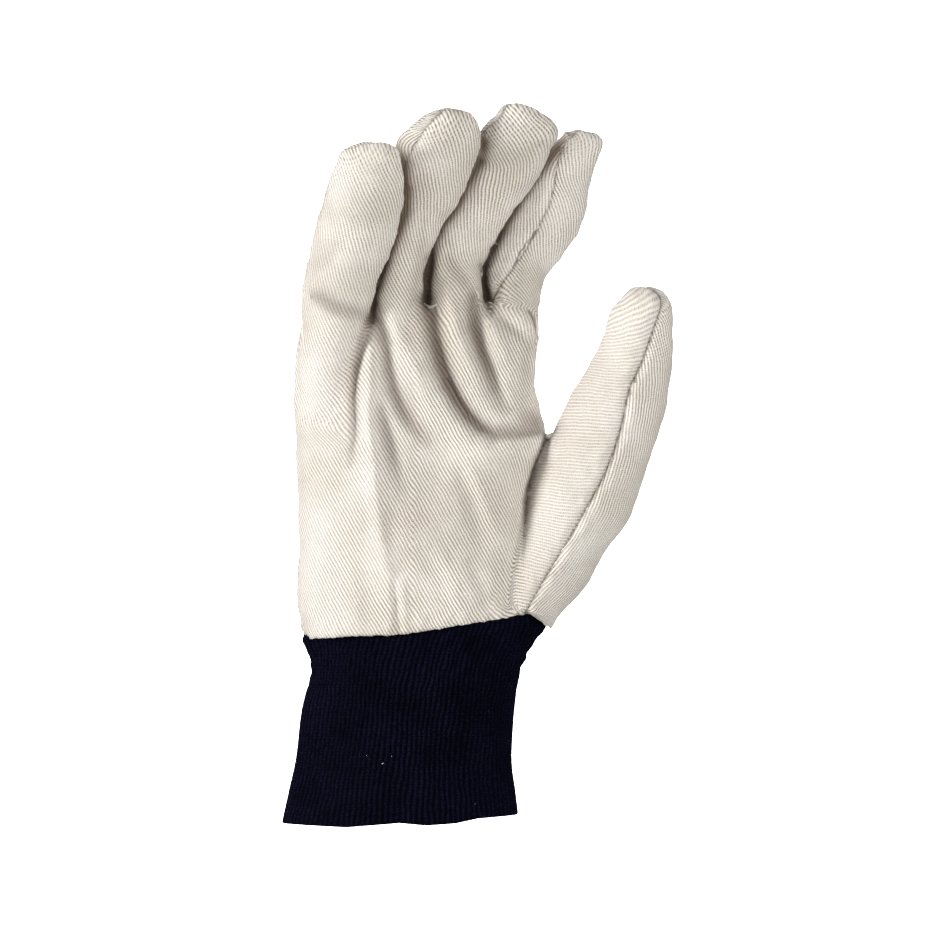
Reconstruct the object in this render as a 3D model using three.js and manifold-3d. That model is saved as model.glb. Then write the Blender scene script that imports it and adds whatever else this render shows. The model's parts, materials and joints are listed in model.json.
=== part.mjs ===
// Cotton drill work glove with a knitted wrist, right hand, shown as worn: fingers up, palm towards -Y.
// Millimetres, +Z up. The origin is the middle of the cuff's mouth, where the wrist goes in.
import * as THREE from "three";
import { mergeVertices } from "three/addons/utils/BufferGeometryUtils.js";
import Module from "manifold-3d";

// Driving dimensions
const cuffLength = 70; // from the hem to the seam with the canvas, on the palm side
const cuffTuck = 7; // how far the knit reaches up inside the canvas
const wristWidth = 80;
const wristDepth = 48;
const knitWall = 1.5; // between the ribs
const ribPitch = 1.9;
const ribHeight = 0.7;
const palmLength = 118; // from the wrist seam to the roots of the fingers
const palmWidth = 86;
const palmDepth = 38;
const littleLength = 66; // from its root to its tip, along the finger
const ringLength = 78;
const middleLength = 84;
const indexLength = 76;
const fingerWidth = 29;
const fingerDepth = 19;
const thumbLength = 136; // from the wrist seam to its tip
const thumbWidth = 35;
const thumbDepth = 28;
const canvasWall = 1.2;
const seamGap = 0.3; // between two pieces that are sewn together
const foldDepth = 3; // of the deepest crease in the palm
const zoneProud = 0.6; // of a form that is cut along the seams, over the cloth that it cuts

// Facets
const fingerSides = 14;
const fingerRings = 9;
const thumbSides = 16;
const thumbRings = 10;
const palmFrontSides = 24;
const palmBackSides = 8;
const palmRings = 12;
const cuffLiningSides = 32;
const smoothing = 0.05; // most that a facet may stray from the form

// Height of the wrist seam over the cuff's length, by place across the wrist, both as shares.
// The peak is where the seam of the thumb meets the cuff.
const wristSeam = [
  { across: -0.8, height: 1.015 },
  { across: -0.42, height: 1.015 },
  { across: -0.38, height: 0.965 },
  { across: -0.16, height: 0.98 },
  { across: 0.02, height: 0.99 },
  { across: 0.25, height: 1.035 },
  { across: 0.54, height: 1.095 },
  { across: 0.63, height: 1.015 },
  { across: 1.0, height: 0.8 },
];

// The hem's height over its lowest level, as a share of cuffLength, by place across wristWidth.
const hem = [
  { across: -0.55, rise: 0.015 },
  { across: -0.24, rise: 0.0 },
  { across: 0.0, rise: 0.023 },
  { across: 0.12, rise: 0.01 },
  { across: 0.25, rise: 0.02 },
  { across: 0.35, rise: 0.044 },
  { across: 0.55, rise: 0.06 },
];

// The knit cuff from hem to top: height as a share of cuffLength, sides as shares of wristWidth,
// palm and back as shares of wristDepth.
const cuffSections = [
  { height: -0.01, left: -0.531, right: 0.529, palm: -0.54, back: 0.54 },
  { height: 0.28, left: -0.476, right: 0.506, palm: -0.49, back: 0.49 },
  { height: 0.6, left: -0.437, right: 0.512, palm: -0.465, back: 0.46 },
  { height: 0.82, left: -0.388, right: 0.53, palm: -0.455, back: 0.45 },
  { height: 0.97, left: -0.408, right: 0.62, palm: -0.4, back: 0.385 },
  { height: 1.04, left: -0.405, right: 0.655, palm: -0.39, back: 0.375 },
  { height: 1.1, left: -0.4, right: 0.65, palm: -0.39, back: 0.375 },
];

// The palm from below the wrist seam to the roots of the fingers: height over the seam as a share of
// palmLength, sides as shares of palmWidth, palm and back as shares of palmDepth. Seam is where the cloth
// of the palm ends on the thumb's side.
const palmSections = [
  { height: -0.14, left: -0.38, right: 0.56, palm: -0.53, back: 0.51, seam: 0.5 },
  { height: 0.0, left: -0.405, right: 0.59, palm: -0.55, back: 0.53, seam: 0.51 },
  { height: 0.08, left: -0.426, right: 0.53, palm: -0.56, back: 0.53, seam: 0.53 },
  { height: 0.19, left: -0.42, right: 0.525, palm: -0.55, back: 0.51, seam: 0.55 },
  { height: 0.34, left: -0.418, right: 0.523, palm: -0.53, back: 0.48, seam: 0.55 },
  { height: 0.46, left: -0.426, right: 0.54, palm: -0.505, back: 0.45, seam: 0.57 },
  { height: 0.58, left: -0.438, right: 0.612, palm: -0.475, back: 0.42, seam: 0.63 },
  { height: 0.66, left: -0.442, right: 0.595, palm: -0.445, back: 0.4, seam: 0.62 },
  { height: 0.76, left: -0.442, right: 0.572, palm: -0.4, back: 0.38, seam: 0.6 },
  { height: 0.86, left: -0.434, right: 0.572, palm: -0.33, back: 0.35, seam: 0.6 },
  { height: 0.93, left: -0.42, right: 0.572, palm: -0.24, back: 0.28, seam: 0.6 },
  { height: 0.975, left: -0.4, right: 0.55, palm: -0.16, back: 0.18, seam: 0.6 },
  { height: 1.0, left: -0.3, right: 0.46, palm: -0.06, back: 0.06, seam: 0.6 },
];

// Each finger from inside the palm to its tip. Up, side and fore are shares of the finger's length, wide
// and deep are shares of half the finger's width and depth, and roll turns its left seam to the front.
const littleSections = [
  { up: -0.6, side: -0.04, fore: 0.02, wide: 0.7, deep: 1.2, roll: 0 },
  { up: -0.3, side: -0.02, fore: 0.05, wide: 0.8, deep: 1.3, roll: 0 },
  { up: 0.0, side: 0.0, fore: 0.11, wide: 0.84, deep: 1.2, roll: 0 },
  { up: 0.19, side: 0.04, fore: 0.22, wide: 0.9, deep: 1.08, roll: 0 },
  { up: 0.36, side: 0.1, fore: 0.33, wide: 0.98, deep: 1.02, roll: 0 },
  { up: 0.52, side: 0.15, fore: 0.43, wide: 1.0, deep: 0.98, roll: 4 },
  { up: 0.66, side: 0.17, fore: 0.52, wide: 0.96, deep: 0.94, roll: 8 },
  { up: 0.76, side: 0.175, fore: 0.59, wide: 0.88, deep: 0.85, roll: 10 },
  { up: 0.83, side: 0.17, fore: 0.645, wide: 0.72, deep: 0.6, roll: 10 },
  { up: 0.86, side: 0.165, fore: 0.67, wide: 0.36, deep: 0.2, roll: 10 },
];
const ringSections = [
  { up: -0.5, side: 0.0, fore: 0.0, wide: 0.58, deep: 1.15, roll: 0 },
  { up: -0.25, side: 0.0, fore: 0.01, wide: 0.62, deep: 1.3, roll: 0 },
  { up: 0.0, side: 0.0, fore: 0.0, wide: 0.66, deep: 1.26, roll: 0 },
  { up: 0.2, side: 0.008, fore: 0.05, wide: 0.67, deep: 1.08, roll: -4 },
  { up: 0.41, side: 0.064, fore: 0.11, wide: 0.78, deep: 1.0, roll: -6 },
  { up: 0.57, side: 0.137, fore: 0.175, wide: 0.93, deep: 0.95, roll: 0 },
  { up: 0.7, side: 0.18, fore: 0.26, wide: 1.05, deep: 0.92, roll: 8 },
  { up: 0.79, side: 0.2, fore: 0.33, wide: 1.02, deep: 0.82, roll: 14 },
  { up: 0.85, side: 0.205, fore: 0.39, wide: 0.8, deep: 0.6, roll: 16 },
  { up: 0.88, side: 0.205, fore: 0.42, wide: 0.36, deep: 0.2, roll: 16 },
];
const middleSections = [
  { up: -0.45, side: 0.0, fore: 0.0, wide: 0.58, deep: 1.1, roll: 0 },
  { up: -0.22, side: 0.0, fore: 0.0, wide: 0.64, deep: 1.26, roll: 0 },
  { up: 0.0, side: -0.015, fore: -0.03, wide: 0.72, deep: 1.22, roll: 0 },
  { up: 0.18, side: -0.027, fore: -0.065, wide: 0.73, deep: 1.06, roll: -4 },
  { up: 0.37, side: 0.05, fore: -0.08, wide: 0.81, deep: 0.98, roll: -6 },
  { up: 0.53, side: 0.138, fore: -0.05, wide: 0.91, deep: 0.94, roll: 2 },
  { up: 0.66, side: 0.22, fore: 0.03, wide: 1.0, deep: 0.92, roll: 10 },
  { up: 0.745, side: 0.24, fore: 0.13, wide: 0.98, deep: 0.84, roll: 14 },
  { up: 0.805, side: 0.222, fore: 0.19, wide: 0.76, deep: 0.6, roll: 16 },
  { up: 0.84, side: 0.205, fore: 0.22, wide: 0.34, deep: 0.2, roll: 16 },
];
const indexSections = [
  { up: -0.5, side: -0.01, fore: -0.02, wide: 0.6, deep: 1.05, roll: 0 },
  { up: -0.25, side: -0.01, fore: -0.03, wide: 0.66, deep: 1.15, roll: 2 },
  { up: 0.0, side: -0.02, fore: -0.12, wide: 0.74, deep: 1.1, roll: 4 },
  { up: 0.2, side: 0.0, fore: -0.2, wide: 0.84, deep: 1.0, roll: 10 },
  { up: 0.37, side: 0.106, fore: -0.26, wide: 0.93, deep: 0.94, roll: 16 },
  { up: 0.51, side: 0.182, fore: -0.275, wide: 0.94, deep: 0.9, roll: 20 },
  { up: 0.64, side: 0.23, fore: -0.26, wide: 0.88, deep: 0.84, roll: 24 },
  { up: 0.74, side: 0.29, fore: -0.23, wide: 0.75, deep: 0.72, roll: 24 },
  { up: 0.8, side: 0.335, fore: -0.21, wide: 0.6, deep: 0.5, roll: 22 },
  { up: 0.83, side: 0.345, fore: -0.2, wide: 0.3, deep: 0.2, roll: 20 },
];
// The thumb also gives, in degrees round its section, where its outer and its inner seam run.
const thumbSections = [
  { up: -0.06, side: -0.075, fore: 0.0, wide: 0.66, deep: 0.95, roll: 0, outer: -72, inner: -180 },
  { up: 0.09, side: 0.0, fore: -0.01, wide: 0.93, deep: 1.05, roll: 0, outer: -78, inner: -180 },
  { up: 0.21, side: 0.075, fore: -0.01, wide: 1.03, deep: 1.1, roll: 0, outer: -83, inner: -180 },
  { up: 0.31, side: 0.13, fore: 0.0, wide: 1.1, deep: 1.08, roll: 0, outer: -83, inner: -190 },
  { up: 0.45, side: 0.188, fore: 0.02, wide: 1.08, deep: 1.0, roll: 0, outer: -78, inner: -215 },
  { up: 0.57, side: 0.233, fore: 0.04, wide: 1.0, deep: 0.95, roll: 0, outer: -79, inner: -240 },
  { up: 0.67, side: 0.275, fore: 0.06, wide: 0.88, deep: 0.88, roll: 0, outer: -88, inner: -250 },
  { up: 0.76, side: 0.3, fore: 0.085, wide: 0.76, deep: 0.82, roll: 0, outer: -78, inner: -255 },
  { up: 0.84, side: 0.31, fore: 0.105, wide: 0.64, deep: 0.7, roll: 0, outer: -62, inner: -250 },
  { up: 0.89, side: 0.32, fore: 0.115, wide: 0.46, deep: 0.48, roll: 0, outer: -50, inner: -240 },
  { up: 0.91, side: 0.322, fore: 0.118, wide: 0.12, deep: 0.12, roll: 0, outer: -50, inner: -240 },
];

// Where each finger and the thumb start: across is a share of palmWidth and height one of palmLength.
const roots = {
  little: { across: -0.27, height: 0.99, length: littleLength, sections: littleSections },
  ring: { across: -0.012, height: 0.99, length: ringLength, sections: ringSections },
  middle: { across: 0.241, height: 0.99, length: middleLength, sections: middleSections },
  index: { across: 0.474, height: 0.99, length: indexLength, sections: indexSections },
  thumb: { across: 0.52, height: 0.0, length: thumbLength, sections: thumbSections },
};

// Creases (depth under 0) and rolls of cloth (over 0) on the palm side. Each runs through three points,
// across as shares of palmWidth and height as shares of palmLength. Width is a share of fingerWidth.
const folds = [
  { x0: -0.13, z0: 0.935, x1: -0.159, z1: 0.74, x2: -0.176, z2: 0.54, width: 0.14, depth: -1.0 },
  { x0: -0.109, z0: 0.873, x1: -0.084, z1: 0.554, x2: -0.008, z2: 0.13, width: 0.24, depth: 0.6 },
  { x0: -0.05, z0: 0.944, x1: 0.026, z1: 0.776, x2: 0.116, z2: 0.61, width: 0.155, depth: -0.75 },
  { x0: 0.034, z0: 0.957, x1: 0.105, z1: 0.79, x2: 0.176, z2: 0.68, width: 0.14, depth: 0.5 },
  { x0: 0.113, z0: 0.95, x1: 0.193, z1: 0.776, x2: 0.326, z2: 0.65, width: 0.155, depth: -1.0 },
  { x0: 0.193, z0: 0.975, x1: 0.277, z1: 0.86, x2: 0.326, z2: 0.75, width: 0.14, depth: 0.6 },
  { x0: 0.277, z0: 0.935, x1: 0.326, z1: 0.822, x2: 0.44, z2: 0.69, width: 0.17, depth: -1.0 },
  { x0: 0.369, z0: 0.966, x1: 0.444, z1: 0.875, x2: 0.519, z2: 0.75, width: 0.14, depth: 0.5 },
  { x0: 0.623, z0: 0.603, x1: 0.502, z1: 0.633, x2: 0.356, z2: 0.645, width: 0.14, depth: -1.0 },
  { x0: 0.605, z0: 0.568, x1: 0.465, z1: 0.568, x2: 0.251, z2: 0.615, width: 0.2, depth: 0.6 },
  { x0: -0.008, z0: 0.12, x1: -0.012, z1: 0.06, x2: -0.016, z2: 0.0, width: 0.09, depth: -0.5 },
  { x0: -0.351, z0: 1.01, x1: -0.285, z1: 0.944, x2: -0.201, z2: 0.864, width: 0.12, depth: -0.7 },
];

const radians = THREE.MathUtils.degToRad;

// A row of a table at t, from 0 at its first row to 1 at its last, on a smooth curve through the rows.
function rowAt(rows, t) {
  const last = rows.length - 1;
  const i = Math.min(Math.floor(t * last), last - 1);
  const f = t * last - i;
  const [a, b, c, d] = [rows[Math.max(i - 1, 0)], rows[i], rows[i + 1], rows[Math.min(i + 2, last)]];
  const row = {};
  for (const key of Object.keys(b)) {
    const cubic = 3 * b[key] - a[key] - 3 * c[key] + d[key];
    const square = 2 * a[key] - 5 * b[key] + 4 * c[key] - d[key];
    row[key] = 0.5 * (2 * b[key] + f * (c[key] - a[key] + f * (square + f * cubic)));
  }
  return row;
}

// Distance from a point to a segment, and how far along the segment it is.
function toSegment(x, z, x0, z0, x1, z1) {
  const [dx, dz] = [x1 - x0, z1 - z0];
  const share = THREE.MathUtils.clamp(((x - x0) * dx + (z - z0) * dz) / (dx * dx + dz * dz), 0, 1);
  return { away: Math.hypot(x - x0 - share * dx, z - z0 - share * dz), share };
}

// How far the palm side stands out at (x, z), because of the folds.
function foldAt(x, z) {
  let out = 0;
  for (const fold of folds) {
    const px = [fold.x0, fold.x1, fold.x2].map((share) => share * palmWidth);
    const pz = [fold.z0, fold.z1, fold.z2].map((share) => cuffLength + share * palmLength);
    const first = toSegment(x, z, px[0], pz[0], px[1], pz[1]);
    const second = toSegment(x, z, px[1], pz[1], px[2], pz[2]);
    const near = first.away < second.away ? first : second;
    const along = first.away < second.away ? first.share / 2 : 0.5 + second.share / 2;
    const spread = near.away / (fold.width * fingerWidth);
    out += fold.depth * foldDepth * Math.exp(-spread * spread) * Math.cos((along - 0.35) * 1.9);
  }
  return out;
}

// A closed body through rings of points. Each ring runs anticlockwise seen from the last ring's end.
function loft(rings) {
  const sides = rings[0].length;
  const points = rings.flat();
  const middleOf = (ring) => ring.reduce((sum, p) => sum.add(p), new THREE.Vector3()).divideScalar(sides);
  points.push(middleOf(rings[0]), middleOf(rings.at(-1)));
  const [foot, head] = [points.length - 2, points.length - 1];
  const top = (rings.length - 1) * sides;
  const index = [];
  for (let j = 0; j < sides; j++) {
    const next = (j + 1) % sides;
    for (let low = 0; low < top; low += sides) {
      index.push(low + j, low + next, low + sides + next, low + j, low + sides + next, low + sides + j);
    }
    index.push(foot, next, j, head, top + j, top + next);
  }
  return new THREE.BufferGeometry().setFromPoints(points).setIndex(index);
}

// Centre, sideways direction and backward direction of a finger's or the thumb's section.
function sectionFrame(limb, t) {
  const centreAt = (share) => {
    const row = rowAt(limb.sections, share);
    return new THREE.Vector3(
      limb.across * palmWidth + row.side * limb.length,
      -row.fore * limb.length,
      cuffLength + limb.height * palmLength + row.up * limb.length,
    );
  };
  const step = 0.02;
  const ahead = centreAt(Math.min(t + step, 1)).sub(centreAt(Math.max(t - step, 0))).normalize();
  const sideways = new THREE.Vector3(1, 0, 0).addScaledVector(ahead, -ahead.x).normalize();
  const row = rowAt(limb.sections, t);
  sideways.applyAxisAngle(ahead, radians(row.roll));
  return { row, centre: centreAt(t), sideways, backward: ahead.clone().cross(sideways), ahead };
}

const lensShape = 1.08; // over 1, a section comes to an edge at its two seams

// Rings of a finger or the thumb, with its surface moved out by grow.
function limbRings(limb, width, depth, rings, sides, grow) {
  return Array.from({ length: rings + 1 }, (_, k) => {
    const { row, centre, sideways, backward, ahead } = sectionFrame(limb, k / rings);
    const halfWidth = Math.max((row.wide * width) / 2 + grow, 0.4);
    const halfDepth = Math.max((row.deep * depth) / 2 + grow, 0.4);
    const end = k === rings ? grow : 0;
    return Array.from({ length: sides }, (_, j) => {
      const angle = (2 * Math.PI * j) / sides;
      const lens = Math.sign(Math.sin(angle)) * Math.abs(Math.sin(angle)) ** lensShape;
      const point = centre.clone();
      point.addScaledVector(sideways, halfWidth * Math.cos(angle));
      point.addScaledVector(backward, halfDepth * lens).addScaledVector(ahead, end);
      const front = Math.max(-lens, 0);
      point.y -= front * foldAt(point.x, point.z);
      return point;
    });
  });
}

// The front half of a finger or the thumb, a little proud of it, as far back as its two seams. Behind is
// how far it passes the seams.
function limbFront(limb, width, depth, rings, behind) {
  const proud = zoneProud + behind;
  const steps = 12;
  return Array.from({ length: rings + 1 }, (_, k) => {
    const { row, centre, sideways, backward, ahead } = sectionFrame(limb, k / rings);
    centre.addScaledVector(ahead, k === rings ? proud : k === 0 ? -proud : 0);
    const halfWidth = (row.wide * width) / 2 + proud;
    const halfDepth = (row.deep * depth) / 2 + proud + foldDepth / 2;
    const start = radians(row.outer ?? 0) + behind / halfWidth;
    const stop = radians(row.inner ?? -180) - behind / halfWidth;
    const ring = [];
    for (let j = steps; j >= 0; j--) {
      const angle = start + ((stop - start) * j) / steps;
      const point = centre.clone().addScaledVector(sideways, halfWidth * Math.cos(angle));
      ring.push(point.addScaledVector(backward, halfDepth * Math.sin(angle)));
    }
    const inward = (start + stop) / 2;
    const hinge = centre.clone().addScaledVector(sideways, -behind * Math.cos(inward));
    ring.push(hinge.addScaledVector(backward, -behind * Math.sin(inward)));
    return ring;
  });
}

// One ring of a flattened tube, with separate reach to the palm side and to the back. Square under 1
// makes it boxier than an ellipse.
function tubeRing(section, width, depth, z, angles, grow, square) {
  const halfWidth = ((section.right - section.left) * width) / 2 + grow;
  const middle = ((section.right + section.left) * width) / 2;
  return angles.map((angle) => {
    const [cos, sin] = [Math.cos(angle), Math.sin(angle)];
    const reach = sin < 0 ? -section.palm * depth + grow : section.back * depth + grow;
    const x = middle + halfWidth * Math.sign(cos) * Math.abs(cos) ** square;
    return new THREE.Vector3(x, reach * Math.sign(sin) * Math.abs(sin) ** square, z);
  });
}

const anglesFrom = (start, stop, count) =>
  Array.from({ length: count }, (_, k) => start + ((stop - start) * k) / count);

const palmSquare = 0.82;
const palmAngles = [
  ...anglesFrom(0, Math.PI, palmBackSides),
  ...anglesFrom(Math.PI, 2 * Math.PI, palmFrontSides),
];

function palmRingsAt(grow) {
  return Array.from({ length: palmRings + 1 }, (_, k) => {
    const section = rowAt(palmSections, k / palmRings);
    const end = k === palmRings ? grow : 0;
    const z = cuffLength + section.height * palmLength + end;
    const ring = tubeRing(section, palmWidth, palmDepth, z, palmAngles, grow, palmSquare);
    for (const point of ring) {
      const front = THREE.MathUtils.clamp(-point.y / (palmDepth / 3), 0, 1);
      point.y -= front * foldAt(point.x, point.z);
    }
    return ring;
  });
}

// The palm's front half as far as the cloth of the palm panel goes, proud of its surface.
function palmFront(behind) {
  const proud = zoneProud + behind;
  return Array.from({ length: palmRings + 1 }, (_, k) => {
    const section = rowAt(palmSections, k / palmRings);
    const end = k === palmRings ? proud : k === 0 ? -proud : 0;
    const z = cuffLength + section.height * palmLength + end;
    const [left, right] = [section.left * palmWidth - proud, section.seam * palmWidth + behind];
    const front = section.palm * palmDepth - 2 * foldDepth - behind;
    return [
      new THREE.Vector3(right, behind, z),
      new THREE.Vector3(left, behind, z),
      new THREE.Vector3(left, front, z),
      new THREE.Vector3(right, front, z),
    ];
  });
}

const wasm = await Module();
wasm.setup();

// A geometry as a solid that can be cut and joined.
function solidOf(geometry) {
  const merged = mergeVertices(geometry, 1e-3);
  const vertProperties = merged.attributes.position.array;
  return new wasm.Manifold(new wasm.Mesh({ numProp: 3, vertProperties, triVerts: merged.index.array }));
}

function geometryOf(solid) {
  const made = solid.getMesh();
  const geometry = new THREE.BufferGeometry();
  geometry.setAttribute("position", new THREE.BufferAttribute(made.vertProperties, 3));
  return geometry.setIndex(new THREE.BufferAttribute(made.triVerts, 1));
}

// The largest body of a solid: crumbs that a cut leaves are dropped.
function wholeOf(solid) {
  return solid.decompose().sort((a, b) => b.volume() - a.volume())[0];
}

function meshOf(name, solid, material) {
  const whole = wholeOf(solidOf(geometryOf(wholeOf(solid).simplify(smoothing))));
  const geometry = geometryOf(whole);
  geometry.computeVertexNormals();
  const mesh = new THREE.Mesh(geometry, material);
  mesh.name = name;
  return mesh;
}

const fingers = [roots.little, roots.ring, roots.middle, roots.index];
const joined = (solids) => solids.reduce((sum, solid) => sum.add(solid));

// The canvas body as one filled form, with its surface moved out by grow.
function filledBody(grow) {
  return joined([
    solidOf(loft(palmRingsAt(grow))),
    solidOf(loft(limbRings(roots.thumb, thumbWidth, thumbDepth, thumbRings, thumbSides, grow))),
    ...fingers.map((f) => solidOf(loft(limbRings(f, fingerWidth, fingerDepth, fingerRings, fingerSides, grow)))),
  ]);
}

// Everything under the wrist seam, lowered by drop.
function underWristSeam(drop) {
  const deep = palmDepth * 3;
  const seam = wristSeam.map((at) => new THREE.Vector2(at.across * palmWidth, at.height * cuffLength - drop));
  const floor = [seam[0], seam.at(-1)].map((corner) => new THREE.Vector2(corner.x, -cuffLength));
  const outline = new THREE.Shape([...floor, ...seam.reverse()]);
  const geometry = new THREE.ExtrudeGeometry(outline, { depth: deep, bevelEnabled: false });
  geometry.deleteAttribute("normal");
  geometry.deleteAttribute("uv");
  geometry.rotateX(Math.PI / 2).translate(0, deep / 2, 0);
  return solidOf(geometry);
}

// All that belongs to the palm panel, as far behind its seams as told.
function palmPanelZone(behind) {
  return joined([
    solidOf(loft(palmFront(behind))),
    solidOf(loft(limbFront(roots.thumb, thumbWidth, thumbDepth, thumbRings, behind))),
    ...fingers.map((f) => solidOf(loft(limbFront(f, fingerWidth, fingerDepth, fingerRings, behind)))),
  ]);
}

// The canvas wall, made thicker on every side by grow.
function canvasShell(grow) {
  return filledBody(grow).subtract(filledBody(-canvasWall - grow)).subtract(underWristSeam(grow));
}

// Points spread evenly round a closed ring.
function evenly(ring, count) {
  const curve = new THREE.CatmullRomCurve3(ring, true);
  curve.arcLengthDivisions = ring.length * 4;
  return curve.getSpacedPoints(count).slice(0, count);
}

// How far the cuff's hem stands over its lowest level, by place across the wrist.
function hemAt(x) {
  const across = THREE.MathUtils.clamp(x / wristWidth, hem[0].across, hem.at(-1).across);
  const next = Math.max(hem.findIndex((row) => row.across >= across), 1);
  const [a, b] = [hem[next - 1], hem[next]];
  return THREE.MathUtils.mapLinear(across, a.across, b.across, a.rise, b.rise) * cuffLength;
}

const ribs = Math.round((Math.PI * (wristWidth + wristDepth)) / 2 / ribPitch);

// The knit cuff's outside, with ribs, or its lining, plain. Its top narrows to pass inside the canvas.
function cuffRingsAt(lining) {
  const coarse = anglesFrom(0, 2 * Math.PI, 48);
  const count = lining ? cuffLiningSides : 2 * ribs;
  const top = cuffLength + cuffTuck;
  const tall = top / cuffSections.at(-1).height;
  return cuffSections.map((section, k) => {
    const past = lining ? (section === cuffSections.at(-1) ? 1 : 0) - (k === 0 ? 1 : 0) : 0;
    const ringAt = (grow) => evenly(tubeRing(section, wristWidth, wristDepth, 0, coarse, grow, 1), count);
    const crests = ringAt(lining ? -knitWall - ribHeight : 0);
    const grooves = lining ? crests : ringAt(-ribHeight);
    return crests.map((crest, j) => {
      const point = (j % 2 ? grooves[j] : crest).clone();
      const height = section.height * tall;
      return point.setZ(height + past + hemAt(point.x) * Math.max(1 - height / (cuffLength / 2), 0));
    });
  });
}

const canvas = new THREE.MeshStandardMaterial({ color: 0xe3dccf, roughness: 0.95, metalness: 0 });
const knit = new THREE.MeshStandardMaterial({ color: 0x0b0d24, roughness: 0.9, metalness: 0 });

const glove = new THREE.Group();
const shell = canvasShell(0);
glove.add(meshOf("palm_panel", shell.intersect(palmPanelZone(-seamGap / 2)), canvas));
glove.add(meshOf("back_panel", shell.subtract(palmPanelZone(seamGap / 2)), canvas));
const cuff = solidOf(loft(cuffRingsAt(false))).subtract(solidOf(loft(cuffRingsAt(true))));
glove.add(meshOf("knit_cuff", cuff.subtract(canvasShell(seamGap)), knit));

export default glove;
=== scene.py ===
# Cotton drill work glove with a knitted wrist, right hand, worn: fingers up, palm towards -Y. Metres.
import json
import math

import bmesh
import bpy
import numpy as np
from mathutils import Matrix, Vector

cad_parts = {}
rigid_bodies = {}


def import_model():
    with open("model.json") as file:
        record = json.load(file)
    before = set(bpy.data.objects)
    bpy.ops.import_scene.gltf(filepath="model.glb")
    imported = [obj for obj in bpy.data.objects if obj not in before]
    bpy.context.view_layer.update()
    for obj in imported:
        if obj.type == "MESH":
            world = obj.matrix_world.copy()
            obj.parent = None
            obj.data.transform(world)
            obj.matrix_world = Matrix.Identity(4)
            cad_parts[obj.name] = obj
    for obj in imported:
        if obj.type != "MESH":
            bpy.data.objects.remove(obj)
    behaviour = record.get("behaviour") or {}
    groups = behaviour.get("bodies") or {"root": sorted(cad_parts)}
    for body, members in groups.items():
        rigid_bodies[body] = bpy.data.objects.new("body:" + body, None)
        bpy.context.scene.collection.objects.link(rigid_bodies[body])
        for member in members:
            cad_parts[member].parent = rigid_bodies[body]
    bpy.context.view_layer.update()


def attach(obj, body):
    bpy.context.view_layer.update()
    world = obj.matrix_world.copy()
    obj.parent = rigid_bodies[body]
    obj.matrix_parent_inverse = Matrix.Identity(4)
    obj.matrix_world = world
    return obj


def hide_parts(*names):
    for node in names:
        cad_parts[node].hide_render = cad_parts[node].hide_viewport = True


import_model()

# Driving dimensions, as in the CAD source
CUFF_LENGTH = 0.070
CUFF_TUCK = 0.007
WRIST_WIDTH = 0.080
WRIST_DEPTH = 0.048
KNIT_WALL = 0.0015
RIB_PITCH = 0.0019
RIB_HEIGHT = 0.0007
PALM_LENGTH = 0.118
PALM_WIDTH = 0.086
PALM_DEPTH = 0.038
FINGER_WIDTH = 0.029
FINGER_DEPTH = 0.019
THUMB_WIDTH = 0.035
THUMB_DEPTH = 0.028
CANVAS_WALL = 0.0012
ZONE_PROUD = 0.0006
LENS_SHAPE = 1.08
PALM_SQUARE = 0.82

# Sizes of the cloth
TWILL_PITCH = 0.00118
REMESH_VOXEL = 0.00096

# One millimetre, in metres
MM = 0.001

# Relief of the cloth: how far it goes in or out, at what distance from the line, and how wide
GROOVE_DEPTH, GROOVE_WIDTH = 0.0007, 0.0009
PUFF_HEIGHT, PUFF_PLACE, PUFF_WIDTH = 0.00028, 0.0028, 0.0016
HEM_PUFF_HEIGHT, HEM_PUFF_PLACE, HEM_PUFF_WIDTH = 0.0003, 0.003, 0.002
TUCK_DEPTH, TUCK_WIDTH = 0.0005, 0.0011
LAP_HEIGHT, LAP_DEPTH, LAP_WIDTH = 0.0012, 0.0020, 0.0030
GAP_DEPTH, GAP_WIDTH = 0.0045, 0.0020
# Painted shade: how dark, from 0 to 1, and the distance or depth that it goes with
SEAM_DARK, SEAM_LESS_ON_FINGERS, SEAM_REACH = 0.85, 0.4, 0.0004
LAP_DARK, LAP_REACH, LAP_SIDE_DARK = 0.9, 0.0008, 0.3
SLOT_DARK, SLOT_FULL = 0.95, 0.003
FOLD_DARK, FOLD_FULL = 0.7, 0.0045
GAP_SHADES = ((0.62, 0.0028), (0.16, 0.006))
CONTACT_SHADES = ((0.86, 0.0021), (0.12, 0.006))
# Unevenness of the cloth: height, size of the swells, and seed
SWELLS = ((0.0004, 0.028, 1), (0.00012, 0.009, 2), (0.00004, 0.004, 3))


def table(names, *rows):
    return names.split(), np.array(rows, float)


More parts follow.
